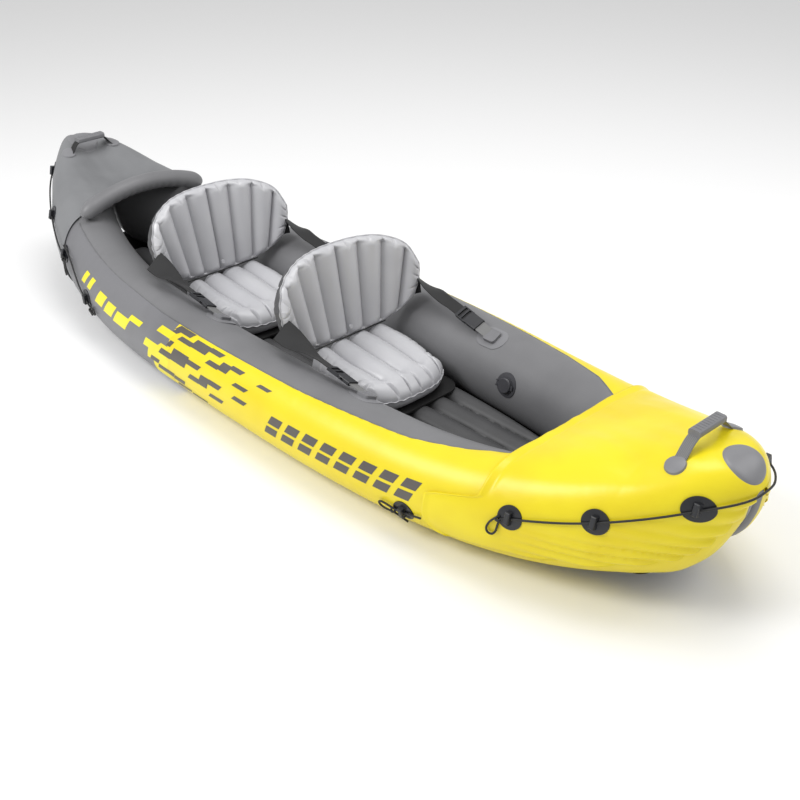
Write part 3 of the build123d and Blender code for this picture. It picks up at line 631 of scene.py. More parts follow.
@dataclass
class SidePrint:
    """The printed dashes and bars of one side, as thin ink on the outer panel."""

    side: Side
    paint: Paint
    proud: float = 0.00035
    dark: tuple[Dash, ...] = (
        Dash(-0.296, -0.212, 51, 60),
        Dash(-0.304, -0.278, 46, 51),
        Dash(-0.304, -0.283, 25, 34.5),
        Dash(-0.262, -0.190, 40.5, 47.5),
        Dash(-0.192, -0.112, 41.5, 55),
        Dash(-0.114, -0.048, 49, 56),
        Dash(-0.340, -0.273, 8.5, 17.5),
        Dash(-0.275, -0.190, 9.5, 27.5),
        Dash(-0.192, -0.122, 17.5, 25),
        Dash(-0.098, -0.036, 33, 40),
        Dash(-0.038, 0.008, 34.5, 47),
        Dash(0.006, 0.066, 43, 49.5),
        Dash(-0.172, -0.115, -0.8, 7),
        Dash(-0.117, -0.070, -0.2, 15.5),
        Dash(-0.072, -0.008, 8.5, 16),
        Dash(0.047, 0.110, 26, 31.5),
        Dash(0.145, 0.199, 41.5, 46.3),
        Dash(-0.065, 0.003, -10, -3),
        Dash(0.057, 0.119, 9, 15),
        Dash(-0.265, -0.190, -33, -25),
        Dash(-0.192, -0.110, -37, -29),
        Dash(-0.361, -0.268, -20, -11),
        Dash(-0.270, -0.210, -22, -13),
        Dash(-0.401, -0.350, -12, -3.5),
    )
    light: tuple[Dash, ...] = (
        Dash(-0.375, -0.296, 35, 46),
        Dash(-0.436, -0.296, 4.5, 17.3),
        Dash(-0.348, -0.296, 17.2, 23),
        Dash(-0.418, -0.296, -12, 4.6),
        Dash(-0.396, -0.296, -40, -11.9),
        Dash(-0.794, -0.737, 9, 30, 0.030),
        Dash(-0.722, -0.662, 7, 27, 0.030),
        Dash(-0.648, -0.560, 5, 24, 0.028),
        Dash(-0.545, -0.470, 24, 33, 0.014),
        Dash(-0.920, -0.892, 16, 36, 0.026),
        Dash(-0.868, -0.840, 16, 36, 0.026),
    )
    bar_start: float = 0.215
    bar_pitch: float = 0.074
    bar_count: int = 8

    def bars(self) -> list[Dash]:
        """The plain slanted bars along the bow half, in two courses."""
        made = []
        for i in range(self.bar_count):
            start = self.bar_start + i * self.bar_pitch
            made.append(Dash(start, start + 0.050, -10 + i * 1.3, 2 + i * 1.3, 0.014))
            made.append(Dash(start + 0.019, start + 0.069, 6 + i * 1.3, 18 + i * 1.3, 0.014))
        return made

    def ink(self, dashes: Sequence[Dash], name: str, finish: str, proud: float) -> None:
        """Lays one colour of ink as a single piece."""
        made = []
        for dash in dashes:

            def place(share: np.ndarray, turn: np.ndarray, dash: Dash = dash) -> np.ndarray:
                """Lays one bar on the skin."""
                x = dash.start + (dash.stop - dash.start) * share + dash.slant * turn
                return LINES.on_chamber(x, self.side, dash.low + (dash.high - dash.low) * turn, proud)

            made.append(film(name, max(4, int((dash.stop - dash.start) / 0.008)), 8, place))
        piece = join(made, name)
        self.settle(piece, proud)
        self.paint.coat(piece, finish)
        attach(piece, "hull")

    def settle(self, piece: bpy.types.Object, proud: float) -> None:
        """Presses the ink onto the wrinkled skin under it."""
        skin = bpy.data.objects[f"chamber_skin_{self.side.name.lower()}"]
        modify(
            piece,
            "SHRINKWRAP",
            target=skin,
            wrap_method="NEAREST_SURFACEPOINT",
            wrap_mode="ABOVE_SURFACE",
            offset=proud,
        )

    def build(self) -> None:
        """Lays the light ink first and the dark ink over it."""
        label = self.side.name.lower()
        self.ink(self.light, f"print_light_{label}", "print_yellow", self.proud)
        self.ink([*self.dark, *self.bars()], f"print_dark_{label}", "print_dark", self.proud * 2)


# ---------------------------------------------------------------- decks
@dataclass
class Deck:
    """A cover over one end: the two flanks and the crown between them, as one sheet."""

    paint: Paint
    end: int
    edge: float
    stand: float = 0.0062
    low: float = -34.0
    shoulder: float = 62.0
    flat_shoulder: float = 84.0
    tip: float = 0.002
    thickness: float = 0.0022
    flank_share: float = 0.56
    easing: float = 0.42

    def crest(self, x: np.ndarray) -> np.ndarray:
        """Height of the crown's middle above the chambers' tops."""
        raise NotImplementedError

    def shoulder_at(self, size: np.ndarray) -> np.ndarray:
        """Angle on the chambers where the crown leaves them."""
        return self.flat_shoulder + (self.shoulder - self.flat_shoulder) * smooth(self.edge, self.edge + 0.20, size)

    def section(self, x: np.ndarray, turn: np.ndarray) -> np.ndarray:
        """Points across the deck: turn is 0 at the starboard hem, 0.5 on the crown and 1 at the port hem."""
        size = np.abs(x)
        y, z, a, b = LINES.chamber(self.end * size)
        a, b = a + self.stand, b + self.stand
        half = 1 - np.abs(2 * turn - 1)
        side = np.where(turn < 0.5, -1.0, 1.0)
        share = self.flank_share
        t = np.clip(half / share, 0, 1)
        shoulder = self.shoulder_at(size)
        angle = np.radians(self.low + (shoulder - self.low) * t)
        flank = np.stack([y + a * np.cos(angle), z + b * np.sin(angle)], axis=1)
        edge = np.radians(shoulder)
        start = np.stack([y + a * np.cos(edge), z + b * np.sin(edge)], axis=1)
        run = np.stack([-a * np.sin(edge), b * np.cos(edge)], axis=1)
        run /= np.linalg.norm(run, axis=1)[:, None]
        stop = np.stack([np.zeros_like(y), z + b + self.crest(size)], axis=1)
        reach = self.easing * np.linalg.norm(stop - start, axis=1)[:, None]
        s = np.clip((half - share) / (1 - share), 0, 1)[:, None]
        one, two = start + run * reach, stop + np.array([[1.0, 0.0]]) * reach
        curve = (1 - s) ** 3 * start + 3 * (1 - s) ** 2 * s * one + 3 * (1 - s) * s**2 * two + s**3 * stop
        flat = np.where((half > share)[:, None], curve, flank)
        return np.stack([self.end * size, side * flat[:, 0], flat[:, 1]], axis=1)

    def aft(self, turn: np.ndarray) -> np.ndarray:
        """Where the sheet begins, along the hull, for each place across it."""
        return np.full_like(turn, self.edge)

    def wrinkle(self, points: np.ndarray, x: np.ndarray, turn: np.ndarray) -> np.ndarray:
        """Distance that the sheet stands proud of its smooth shape."""
        raise NotImplementedError

    def place(self, share: np.ndarray, turn: np.ndarray) -> np.ndarray:
        """Points of the sheet."""
        begin = self.aft(turn)
        stop = LINES.half - self.tip
        x = begin + (stop - begin) * (1 - (1 - share) ** 1.6)
        points = self.section(x, turn)
        ahead = self.section(np.minimum(x + 0.002, stop), turn)
        back = self.section(x - 0.002, turn)
        left = self.section(x, np.clip(turn - 0.002, 0, 1))
        right = self.section(x, np.clip(turn + 0.002, 0, 1))
        normal = np.cross(ahead - back, right - left)
        length = np.linalg.norm(normal, axis=1)[:, None] + 1e-12
        outward = np.stack([np.zeros_like(x), points[:, 1], points[:, 2] - LINES.chamber(self.end * x)[1]], axis=1)
        flip = np.sign(np.sum(normal * outward, axis=1))[:, None]
        proud = self.wrinkle(points, x, turn)
        return points + normal / length * flip * proud[:, None]


@dataclass
class BowDeck(Deck):
    """The yellow bow cover, with a folded aft edge and a lobe down each flank."""

    end: int = 1
    edge: float = 0.985
    crest_height: float = 0.028
    lobe_reach: float = 0.150
    lobe_turn: float = 0.295

    def crest(self, x: np.ndarray) -> np.ndarray:
        """Height of the crown's middle above the chambers' tops."""
        t = np.maximum(x - self.edge, 0) / (LINES.half - self.edge)
        return self.crest_height * 4 * t * (1 - t)

    def aft(self, turn: np.ndarray) -> np.ndarray:
        """The crown starts at the straight edge; the flanks reach further aft, with a rounded end."""
        half = 1 - np.abs(2 * turn - 1)
        upper = 1 - smooth(self.lobe_turn - 0.045, self.lobe_turn + 0.02, half)
        lower = 0.055 * (1 - dome(half / 0.13))
        return self.edge - self.lobe_reach * upper + lower

    def wrinkle(self, points: np.ndarray, x: np.ndarray, turn: np.ndarray) -> np.ndarray:
        """Long soft folds, deeper low down on the nose, and a rolled aft edge."""
        half = 1 - np.abs(2 * turn - 1)
        broad = ruffle(points, (0.42, 0.13, 0.09), 2.0)
        fine = ruffle(points, (0.16, 0.055, 0.022), 21.0)
        low = smooth(0.42, 0.05, half) * smooth(1.02, 1.25, x)
        slanted = points @ np.array([[0.8, 0.3, 0], [-0.5, 0.9, 0.2], [0.2, 0.1, 1]])
        diagonal = ruffle(slanted, (0.30, 0.035, 0.05), 33.0)
        crown = smooth(0.5, 0.85, half)
        hem = 0.0040 * np.exp(-(((x - self.aft(turn)) / 0.010) ** 2))
        second = -0.0022 * np.exp(-(((x - self.aft(turn) - 0.024) / 0.006) ** 2)) * smooth(0.3, 0.4, half)
        steps = 0.008 * low * (np.abs(np.sin(points[:, 2] / 0.034 * math.pi + 1.4 * broad)) - 0.5)
        return 0.0040 * broad + 0.0035 * low * fine + 0.0024 * crown * diagonal + hem + second + steps

    def build(self) -> bpy.types.Object:
        """Makes the cover, with thickness inwards."""
        piece = film("bow_cover", 190, 150, self.place)
        modify(piece, "SOLIDIFY", thickness=self.thickness, offset=-1.0, use_rim=True)
        self.paint.coat(piece, "deck_yellow")
        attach(piece, "hull")
        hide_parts("bow_deck")
        return piece


@dataclass
class SternDeck(Deck):
    """The grey stern cover, drawn down hollow between the chambers."""

    end: int = -1
    edge: float = 1.118
    lip: float = 0.045
    hollow: float = 0.028
    shoulder: float = 74.0

    def crest(self, x: np.ndarray) -> np.ndarray:
        """Height of the crown's middle above the chambers' tops: a lip at the arch, then a hollow."""
        t = np.maximum(x - self.edge, 0) / (LINES.half - self.edge)
        return self.lip * (1 - t) ** 4 - self.hollow * 4 * t * (1 - t)

    def wrinkle(self, points: np.ndarray, x: np.ndarray, turn: np.ndarray) -> np.ndarray:
        """Creases that run from the arch up the hollow, and soft dents by the arch."""
        half = 1 - np.abs(2 * turn - 1)
        crown = smooth(0.5, 0.75, half)
        broad = ruffle(points, (0.30, 0.10, 0.12), 6.0)
        dents = ruffle(points, (0.055, 0.05, 0.2), 14.0) * np.exp(-np.maximum(x - self.edge, 0) / 0.08)
        fans = ruffle(points, (0.5, 0.045, 0.6), 17.0)
        return 0.0035 * broad + 0.0100 * crown * dents + 0.0055 * crown * fans

    def build(self) -> bpy.types.Object:
        """Makes the cover, with thickness inwards."""
        piece = film("stern_cover", 150, 150, self.place)
        modify(piece, "SOLIDIFY", thickness=self.thickness, offset=-1.0, use_rim=True)
        self.paint.coat(piece, "stern_grey")
        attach(piece, "hull")
        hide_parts("stern_deck")
        return piece


@dataclass
class CoamingTube:
    """The inflated arch at the stern cover's edge."""

    paint: Paint
    x: float = -1.083
    radius: float = 0.032
    top: float = 0.437
    half: float = 0.262
    drop: float = 0.062
    pinch: float = 0.0022
    pinch_pitch: float = 0.034

    def place(self, share: np.ndarray, turn: np.ndarray) -> np.ndarray:
        """Points of the tube, with pinches on the inside of its bend and domed ends."""
        middle = self.top - self.radius
        bow = (self.half**2 + self.drop**2) / (2 * self.drop)
        sweep = math.asin(self.half / bow)
        phi = (2 * share - 1) * sweep
        close = dome(np.minimum(share, 1 - share) / 0.11)
        around = math.tau * turn
        radial = np.cos(around)
        wave = np.cos(math.tau * phi * bow / self.pinch_pitch + 3 * np.sin(phi * 9))
        r = self.radius * close - self.pinch * (0.5 - 0.5 * wave) * smooth(0.2, -0.9, radial) * close
        reach = bow + r * radial
        return np.stack(
            [self.x + r * np.sin(around), reach * np.sin(phi), middle - bow + reach * np.cos(phi)], axis=1
        )

    def build(self) -> bpy.types.Object:
        """Makes the arch."""
        piece = film("stern_arch", 180, 40, self.place)
        self.paint.coat(piece, "grey")
        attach(piece, "hull")
        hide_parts("stern_coaming_tube")
        return piece


# ---------------------------------------------------------------- floor
@dataclass
class AirFloor:
    """The inflated floor: tubes side by side, pinched along each weld."""

    paint: Paint
    half: float = 1.180
    height: float = 0.090
    tubes: int = 5
    pitch: float = 0.078
    low: float = 0.002
    inset: float = 0.2575
    weld_depth: float = 0.030

    def width(self, x: np.ndarray) -> np.ndarray:
        """Half the floor's width at x."""
        return np.minimum(LINES.half_beam(x) - self.inset, self.pitch * (self.tubes / 2) + 0.002)

    def place(self, share: np.ndarray, turn: np.ndarray) -> np.ndarray:
        """Points all round the floor: turn below 0.5 is the top, above it the underside."""
        x = (2 * share - 1) * self.half
        top = turn <= 0.5
        y = np.where(top, 4 * turn - 1, 3 - 4 * turn) * self.width(x)
        slot = y / self.pitch + self.tubes / 2
        arch = np.sqrt(tube_profile(slot))
        swell = 1 - (self.weld_depth / self.height) * 2 * (1 - arch)
        edge = dome((self.width(x) - np.abs(y)) / 0.030) * dome((self.half - np.abs(x)) / 0.05)
        middle = LINES.keel(x) + self.low + self.height / 2
        flat = np.stack([x, y, middle], axis=1)
        fine = 0.0012 * ruffle(flat, (0.05, 0.02, 1.0), 4.0) * (1 - arch)
        pucker = fine + 0.0010 * ruffle(flat, (0.25, 0.1, 1.0), 8.0)
        rise = (self.height / 2 * swell + pucker) * edge
        return np.stack([x, y, np.where(top, middle + rise, middle - self.height / 2 * edge)], axis=1)

    def build(self) -> bpy.types.Object:
        """Makes the floor."""
        piece = film("air_floor", 300, 220, self.place)
        self.paint.coat(piece, "floor")
        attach(piece, "hull")
        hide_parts("floor_chamber")
        return piece


# ---------------------------------------------------------------- seats
@dataclass
class Seat:
    """Where one seat stands, and its backrest's own frame."""

    name: str
    x: float
    hinge: float = 0.221
    lean: float = 10.0

    def upright(self, local: np.ndarray) -> np.ndarray:
        """Turns points of the backrest's own frame to the hull's frame."""
        turn = math.radians(self.lean)
        x = local[:, 0] * math.cos(turn) - local[:, 2] * math.sin(turn)
        z = local[:, 0] * math.sin(turn) + local[:, 2] * math.cos(turn)
        return np.stack([self.x + x, local[:, 1], self.hinge + z], axis=1)


@dataclass
class Backrest:
    """An air backrest: eight upright tubes in a fan, welded between two films with a flat rim."""

    seat: Seat
    paint: Paint
    tubes: int = 8
    radius: float = 0.586
    depth: float = 0.0285
    weld: float = 0.93
    roundness: float = 0.72
    lower: tuple[tuple[float, float], ...] = (
        (0, -0.009), (0.066, -0.007), (0.130, 0.002), (0.190, 0.021), (0.246, 0.060),
    )
    upper: tuple[tuple[float, float], ...] = (
        (0, 0.297), (0.086, 0.294), (0.170, 0.278), (0.240, 0.236), (0.272, 0.166),
    )
    half: float = 0.262
    yaw: float = 3.0
    set_back: float = 0.030
    side_bow: float = 0.007
    rim_width: float = 0.004

    def outline(self, across: np.ndarray, up: np.ndarray) -> tuple[np.ndarray, np.ndarray]:
        """Flat place, y and z, for shares across (-1 to 1) and up (0 to 1)."""
        low = through(self.lower, np.abs(across))
        high = through(self.upper, np.abs(across))
        flat = low + (high - low) * up[:, None]
        bow = self.side_bow * 4 * up * (1 - up) * np.abs(across) ** 6
        return np.sign(across) * (flat[:, 0] + bow), flat[:, 1]

    def height(self, across: np.ndarray) -> np.ndarray:
        """Length of the backrest from hem to hem at a share across."""
        return np.linalg.norm(through(self.upper, np.abs(across)) - through(self.lower, np.abs(across)), axis=1)

    def puff(self, across: np.ndarray, up: np.ndarray, seed: float) -> np.ndarray:
        """Height of a film above the middle surface."""
        y, z = self.outline(across, up)
        tall = self.height(across)
        top, bottom, edge = (1 - up) * tall, up * tall, (1 - np.abs(across)) * self.half
        slot = (across + 1) / 2 * self.tubes
        arch = tube_profile(slot) ** self.roundness
        edges = np.minimum(slot, self.tubes - slot) < 0.5
        arch = np.where(edges, np.maximum(arch, 0.9), arch)
        reach = smooth(0.003, 0.020, top) * smooth(0.0, 0.008, bottom)
        body = dome(np.minimum(np.minimum(top, bottom), edge) / 0.027)
        flat = np.stack([y, z, 0 * y], axis=1)
        lean = ruffle(flat, (0.10, 0.16, 1.0), seed)
        darts = self.darts(across, up, top, edge, bottom)
        swell = self.depth * (1 - self.weld * reach * (1 - arch)) * body
        small = 0.0010 * ruffle(flat, (0.018, 0.05, 1.0), seed + 5) * np.exp(-top / 0.03)
        return np.maximum(swell * (1 + 0.07 * lean) - darts * body + small * body, 0.0)

    def darts(self, across: np.ndarray, up: np.ndarray, top: np.ndarray, edge: np.ndarray, bottom: np.ndarray):
        """Depth of the pinches that run in from the rim where the film is gathered."""
        depth = np.zeros_like(across)
        for i in range(2 * self.tubes - 1):
            at = -1 + (i + 1) / self.tubes + 0.018 * math.sin(i * 2.4)
            long = 0.013 + 0.007 * math.sin(i * 1.7 + 1)
            wide = 0.0032 + 0.0012 * math.sin(i * 3.1)
            gap = (across - at) * self.half + 0.10 * top * math.sin(i * 1.3)
            depth += 0.0150 * np.exp(-((gap / wide) ** 2)) * np.exp(-((top / long) ** 2))
        for i in range(4):
            gap = (up - (0.14 + 0.22 * i)) * 0.15 + 0.15 * edge * math.sin(i * 2.2)
            depth += 0.0085 * np.exp(-((gap / 0.0036) ** 2)) * np.exp(-((edge / 0.024) ** 2))
        for i in range(self.tubes):
            gap = (across - (-1 + (2 * i + 1) / self.tubes)) * 0.23
            depth += 0.0050 * np.exp(-((gap / 0.004) ** 2)) * np.exp(-((bottom / 0.010) ** 2))
        return depth

    def bent(self, y: np.ndarray, z: np.ndarray, out: np.ndarray) -> np.ndarray:
        """Wraps a flat place round the backrest's curve; out is towards the sitter."""
        turn = np.arcsin(np.clip(y / self.radius, -1, 1))
        reach = self.radius - out
        x = self.radius - self.set_back - reach * np.cos(turn) + math.radians(self.yaw) * y
        return self.seat.upright(np.stack([x, reach * np.sin(turn), z], axis=1))

    def place(self, share: np.ndarray, turn: np.ndarray) -> np.ndarray:
        """Both films: turn below 0.5 is the front, above it the back."""
        across = np.sin((2 * share - 1) * math.pi / 2 * 0.98) / math.sin(math.pi / 2 * 0.98)
        across = 0.75 * (2 * share - 1) + 0.25 * across
        front = turn <= 0.5
        up = np.where(front, 2 * turn, 2 - 2 * turn)
        up = 0.7 * up + 0.3 * (0.5 - 0.5 * np.cos(math.pi * up))
        y, z = self.outline(across, up)
        ahead = self.puff(across, up, 3.0)
        behind = self.puff(across, up, 31.0)
        return self.bent(y, z, np.where(front, ahead, -behind))

    def build(self) -> bpy.types.Object:
        """Makes the two films and the rim."""
        body = f"backrest_{self.seat.name}"
        pad = film(f"backrest_pad_{self.seat.name}", 224, 260, self.place)
        self.paint.coat(pad, "seat", "seat_back")
        middle = self.bent(np.array([f.center.y for f in pad.data.polygons]), np.zeros(len(pad.data.polygons)), 0.0)
        for face, line in zip(pad.data.polygons, middle):
            lean = math.tan(math.radians(self.seat.lean)) * (face.center.z - line[2])
            face.material_index = 1 if face.center.x < line[0] - lean else 0
        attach(pad, body)
        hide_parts(f"{self.seat.name}_backrest")
        self.rim(body)
        return pad

    def edge_point(self, share: np.ndarray) -> np.ndarray:
        """Flat outline point and its outward direction, once round from the bottom's middle."""

        def at(q: np.ndarray) -> np.ndarray:
            """Outline point for a share round."""
            q = q % 1.0
            half = np.where(q < 0.5, q, 1 - q) * 2
            side = np.where(q < 0.5, 1.0, -1.0)
            across = np.where(half < 0.36, half / 0.36, np.where(half < 0.55, 1.0, (1 - half) / 0.45))
            up = np.where(half < 0.36, 0.0, np.where(half < 0.55, (half - 0.36) / 0.19, 1.0))
            y, z = self.outline(side * across, up)
            return np.stack([y, z], axis=1)

        here = at(share)
        ahead = at(share + 0.003) - at(share - 0.003)
        out = np.stack([ahead[:, 1], -ahead[:, 0]], axis=1)
        out /= np.linalg.norm(out, axis=1)[:, None] + 1e-9
        return np.concatenate([here, out], axis=1)

    def rim(self, body: str) -> None:
        """Makes the flat welded rim, rippled where the film is gathered."""

        def place(share: np.ndarray, turn: np.ndarray) -> np.ndarray:
            """A flat band that laps the pad's edge."""
            found = self.edge_point(share)
            out = -LAP + (self.rim_width + LAP) * turn
            y = found[:, 0] + found[:, 2] * out
            z = found[:, 1] + found[:, 3] * out
            wave = 0.0016 * np.sin(share * math.tau * 41 + 2 * np.sin(share * 23)) * smooth(0.2, 1, turn)
            return self.bent(y, z, wave)

        piece = film(f"backrest_rim_{self.seat.name}", 420, 3, place)
        modify(piece, "SOLIDIFY", thickness=0.0014, offset=0.0)
        self.paint.coat(piece, "seat")
        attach(piece, body)


@dataclass
class Cushion:
    """An air cushion: four tubes along it, a rounded front with pinches, and a rim at mid height."""

    seat: Seat
    paint: Paint
    tubes: int = 4
    length: float = 0.314
    half: float = 0.173
    back_centre: float = 0.600
    back_radius: float = 0.594
    tuck: float = 0.030
    rear_top: float = 0.2135
    front_top: float = 0.186
    base: float = 0.0992
    rear_rim: float = 0.158
    front_rim: float = 0.140
    weld: float = 0.024
    rim_width: float = 0.003

    def flat(self, across: np.ndarray, along: np.ndarray) -> tuple[np.ndarray, np.ndarray]:
        """Place on the plan, x and y, for shares across (-1 to 1) and forward (0 to 1)."""
        narrow = 1 - 0.14 * smooth(0.35, 1.05, along) - 0.05 * smooth(0.3, 0.0, along)
        y = self.half * across * narrow
        rear = self.back_centre - np.sqrt(self.back_radius**2 - y**2) - self.tuck
        front = self.length - 0.050 * np.abs(across) ** 3.2
        return rear + (front - rear) * along, y

    def rise(self, across: np.ndarray, along: np.ndarray, seed: float) -> tuple[np.ndarray, np.ndarray, np.ndarray]:
        """Heights of the rim, the upper film and the lower film."""
        x, y = self.flat(across, along)
        share = np.clip(x / self.length, 0, 1)
        rim = self.rear_rim + (self.front_rim - self.rear_rim) * share
        top = self.rear_top + (self.front_top - self.rear_top) * share
        front, rear, side = (1 - along) * 0.30, along * 0.30, (1 - np.abs(across)) * self.half
        body = dome(np.minimum(np.minimum(front / 0.060, rear / 0.009), side / 0.046))
        slot = (across + 1) / 2 * self.tubes
        arch = np.sqrt(tube_profile(slot))
        outer = np.minimum(slot, self.tubes - slot) < 0.5
        arch = np.where(outer, np.maximum(arch, 0.97), arch) ** 1.3
        reach = smooth(0.040, 0.080, front)
        plan = np.stack([x, y, 0 * x], axis=1)
        soft = 0.0022 * ruffle(plan, (0.12, 0.07, 1.0), seed) + 0.0008 * ruffle(plan, (0.035, 0.02, 1.0), seed + 3)
        pinch = self.pinches(across, along, front, side)
        upper = (top - rim) * body - self.weld * reach * (1 - arch) * body + soft * body - pinch * body
        nearest = np.minimum(np.minimum(front, rear), side)
        lower = rim - (rim - self.base) * dome(nearest / 0.030)
        return rim, rim + np.maximum(upper, 0), lower

    def pinches(self, across: np.ndarray, along: np.ndarray, front: np.ndarray, side: np.ndarray) -> np.ndarray:
        """Depth of the darts round the front and the sides."""
        depth = np.zeros_like(across)
        for i, at in enumerate((-0.93, -0.52, -0.22, 0.06, 0.42, 0.74)):
            wide = 0.0038 + 0.001 * math.sin(i * 2.0)
            long = 0.040 + 0.012 * math.sin(i * 1.3 + 0.5)
            gap = (across - at) * self.half + 0.16 * front * math.sin(i * 1.9 + 0.4)
            depth += 0.0220 * np.exp(-((gap / wide) ** 2)) * np.exp(-((front / long) ** 2))
        for i in range(6):
            gap = (along - (0.16 + 0.135 * i)) * 0.30 + 0.25 * side * math.sin(i * 2.7)
            depth += 0.0130 * np.exp(-((gap / 0.0045) ** 2)) * np.exp(-((side / 0.024) ** 2))
        return depth

    def place(self, share: np.ndarray, turn: np.ndarray) -> np.ndarray:
        """Both films: turn below 0.5 is the top, above it the underside."""
        across = 2 * share - 1
        across = 0.8 * across + 0.2 * np.sin(across * math.pi / 2)
        top = turn <= 0.5
        along = np.where(top, 2 * turn, 2 - 2 * turn)
        along = 0.7 * along + 0.3 * (0.5 - 0.5 * np.cos(math.pi * along))
        x, y = self.flat(across, along)
        _, upper, lower = self.rise(across, along, 4.0)
        return np.stack([self.seat.x + x, y, np.where(top, upper, lower)], axis=1)

    def build(self) -> bpy.types.Object:
        """Makes the two films and the rim."""
        pad = film(f"cushion_pad_{self.seat.name}", 200, 260, self.place)
        self.paint.coat(pad, "seat")
        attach(pad, "hull")
        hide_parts(f"{self.seat.name}_cushion")
        self.rim()
        return pad

    def rim(self) -> None:
        """Makes the flat welded rim round the front and the sides."""

        def at(q: np.ndarray) -> tuple[np.ndarray, np.ndarray]:
            """Shares across and along for a share of the way round from the rear."""
            across = np.where(q < 0.32, -1.0, np.where(q > 0.68, 1.0, (q - 0.5) / 0.18))
            along = np.where(q < 0.32, q / 0.32, np.where(q > 0.68, (1 - q) / 0.32, 1.0))
            return across, along

        def place(share: np.ndarray, turn: np.ndarray) -> np.ndarray:
            """A flat band that laps the pad's edge."""
            x, y = self.flat(*at(share))
            ahead = self.flat(*at(np.clip(share + 0.004, 0, 1)))
            behind = self.flat(*at(np.clip(share - 0.004, 0, 1)))
            run = np.stack([ahead[0] - behind[0], ahead[1] - behind[1]], axis=1)
            run /= np.linalg.norm(run, axis=1)[:, None] + 1e-9
            out = -LAP + (self.rim_width + LAP) * turn
            rim = self.rise(*at(share), 4.0)[0]
            wave = 0.0022 * np.sin(share * math.tau * 27 + 2 * np.sin(share * 19)) * smooth(0.2, 1, turn)
            return np.stack([self.seat.x + x + run[:, 1] * out, y - run[:, 0] * out, rim + wave], axis=1)

        piece = film(f"cushion_rim_{self.seat.name}", 300, 3, place)
        modify(piece, "SOLIDIFY", thickness=0.0014, offset=0.0)
        self.paint.coat(piece, "seat")
        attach(piece, "hull")


@dataclass
class Sling:
    """The black band behind a backrest, which laps round its wings and takes the straps' pull."""

    rest: Backrest
    paint: Paint
    low: float = 0.052
    high: float = 0.172
    half: float = 0.272
    gap: float = 0.0292
    thickness: float = 0.0018

    def build(self) -> None:
        """Makes the band."""

        def place(share: np.ndarray, turn: np.ndarray) -> np.ndarray:
            """A band across the back, drawn in to the rim at its ends."""
            y = self.half * (2 * share - 1)
            wing = smooth(0.225, self.half, np.abs(y))
            low, high = self.low + 0.010 * wing, self.high - 0.002 * wing
            z = low + (high - low) * turn
            flat = np.stack([y, z, 0 * y], axis=1)
            soft = 0.0014 * ruffle(flat, (0.05, 0.03, 1), 7.0) * (1 - wing)
            out = -(self.gap + soft) * (1 - wing) - 0.002 * wing
            return self.rest.bent(y, z, out)

        piece = film(f"sling_{self.rest.seat.name}", 120, 16, place)
        modify(piece, "SOLIDIFY", thickness=self.thickness, offset=1.0)
        self.paint.coat(piece, "webbing")
        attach(piece, f"backrest_{self.rest.seat.name}")
        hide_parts(f"{self.rest.seat.name}_sling")


# ---------------------------------------------------------------- straps
@dataclass
class SeatStrap:
    """One side strap: flat webbing at its plug, widening and turning on edge to the backrest."""

    seat: Seat
    side: Side
    paint: Paint
    anchor_back: float = 0.365
    anchor_angle: float = 115.0
    stand: float = 0.007
    end: Point = (0.002, 0.279, 0.338)
    width: float = 0.038
    wide: float = 0.074
    twist: float = 72.0
    start: float = 0.108
    flat: float = 0.186
    thickness: float = 0.0018

    def line(self) -> tuple[Vector, Vector, Vector, float]:
        """Start, direction, upward direction and length of the strap's straight run."""
        x = self.seat.x + self.anchor_back
        y, z, a, b = (float(v) for v in LINES.chamber(np.array(x)))
        turn = math.radians(self.anchor_angle)
        normal = Vector((0, self.side.value * b * math.cos(turn), a * math.sin(turn))).normalized()
        skin = Vector((x, self.side.value * (y + a * math.cos(turn)), z + b * math.sin(turn)))
        begin = skin + normal * self.stand
        stop = Vector((self.seat.x + self.end[0], self.side.value * self.end[1], self.end[2]))
        along = (stop - begin).normalized()
        up = (normal - along * normal.dot(along)).normalized()
        return begin, along, up, (stop - begin).length

    def build(self) -> None:
        """Makes the strap between the hull and the backrest."""
        begin, along, up, length = self.line()
        cross = np.array(up.cross(along))
        begin, along, up = np.array(begin), np.array(along), np.array(up)

        def place(share: np.ndarray, turn: np.ndarray) -> np.ndarray:
            """A ribbon, flat near the plug, then with a soft wave, a curl across it and a slight sag."""
            run = self.start + (length - self.start) * share
            t = np.clip((run - self.flat) / (length - self.flat), 0, 1)
            spread = self.width + (self.wide - self.width) * smooth(0, 0.9, t)
            angle = np.radians(self.side.value * self.twist * smooth(0, 1, t))
            across = (turn - 0.5) * spread
            curl = 0.0016 * np.sin(run * 55) * t * (1 - t) * 4 + 0.0030 * (2 * turn - 1) ** 2 * t
            sag = -0.004 * np.sin(math.pi * t)
            width = cross[None, :] * np.cos(angle)[:, None] + up[None, :] * np.sin(angle)[:, None]
            face = -cross[None, :] * np.sin(angle)[:, None] + up[None, :] * np.cos(angle)[:, None]
            line = begin + along * run[:, None]
            points = line + width * across[:, None] + face * curl[:, None]
            points[:, 2] += sag
            return points

        label = f"{self.seat.name}_{self.side.name.lower()}"
        piece = film(f"strap_web_{label}", 60, 12, place)
        modify(piece, "SOLIDIFY", thickness=self.thickness, offset=0.0)
        self.paint.coat(piece, "webbing")
        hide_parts(f"seat_strap_{label}")
        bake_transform(piece)


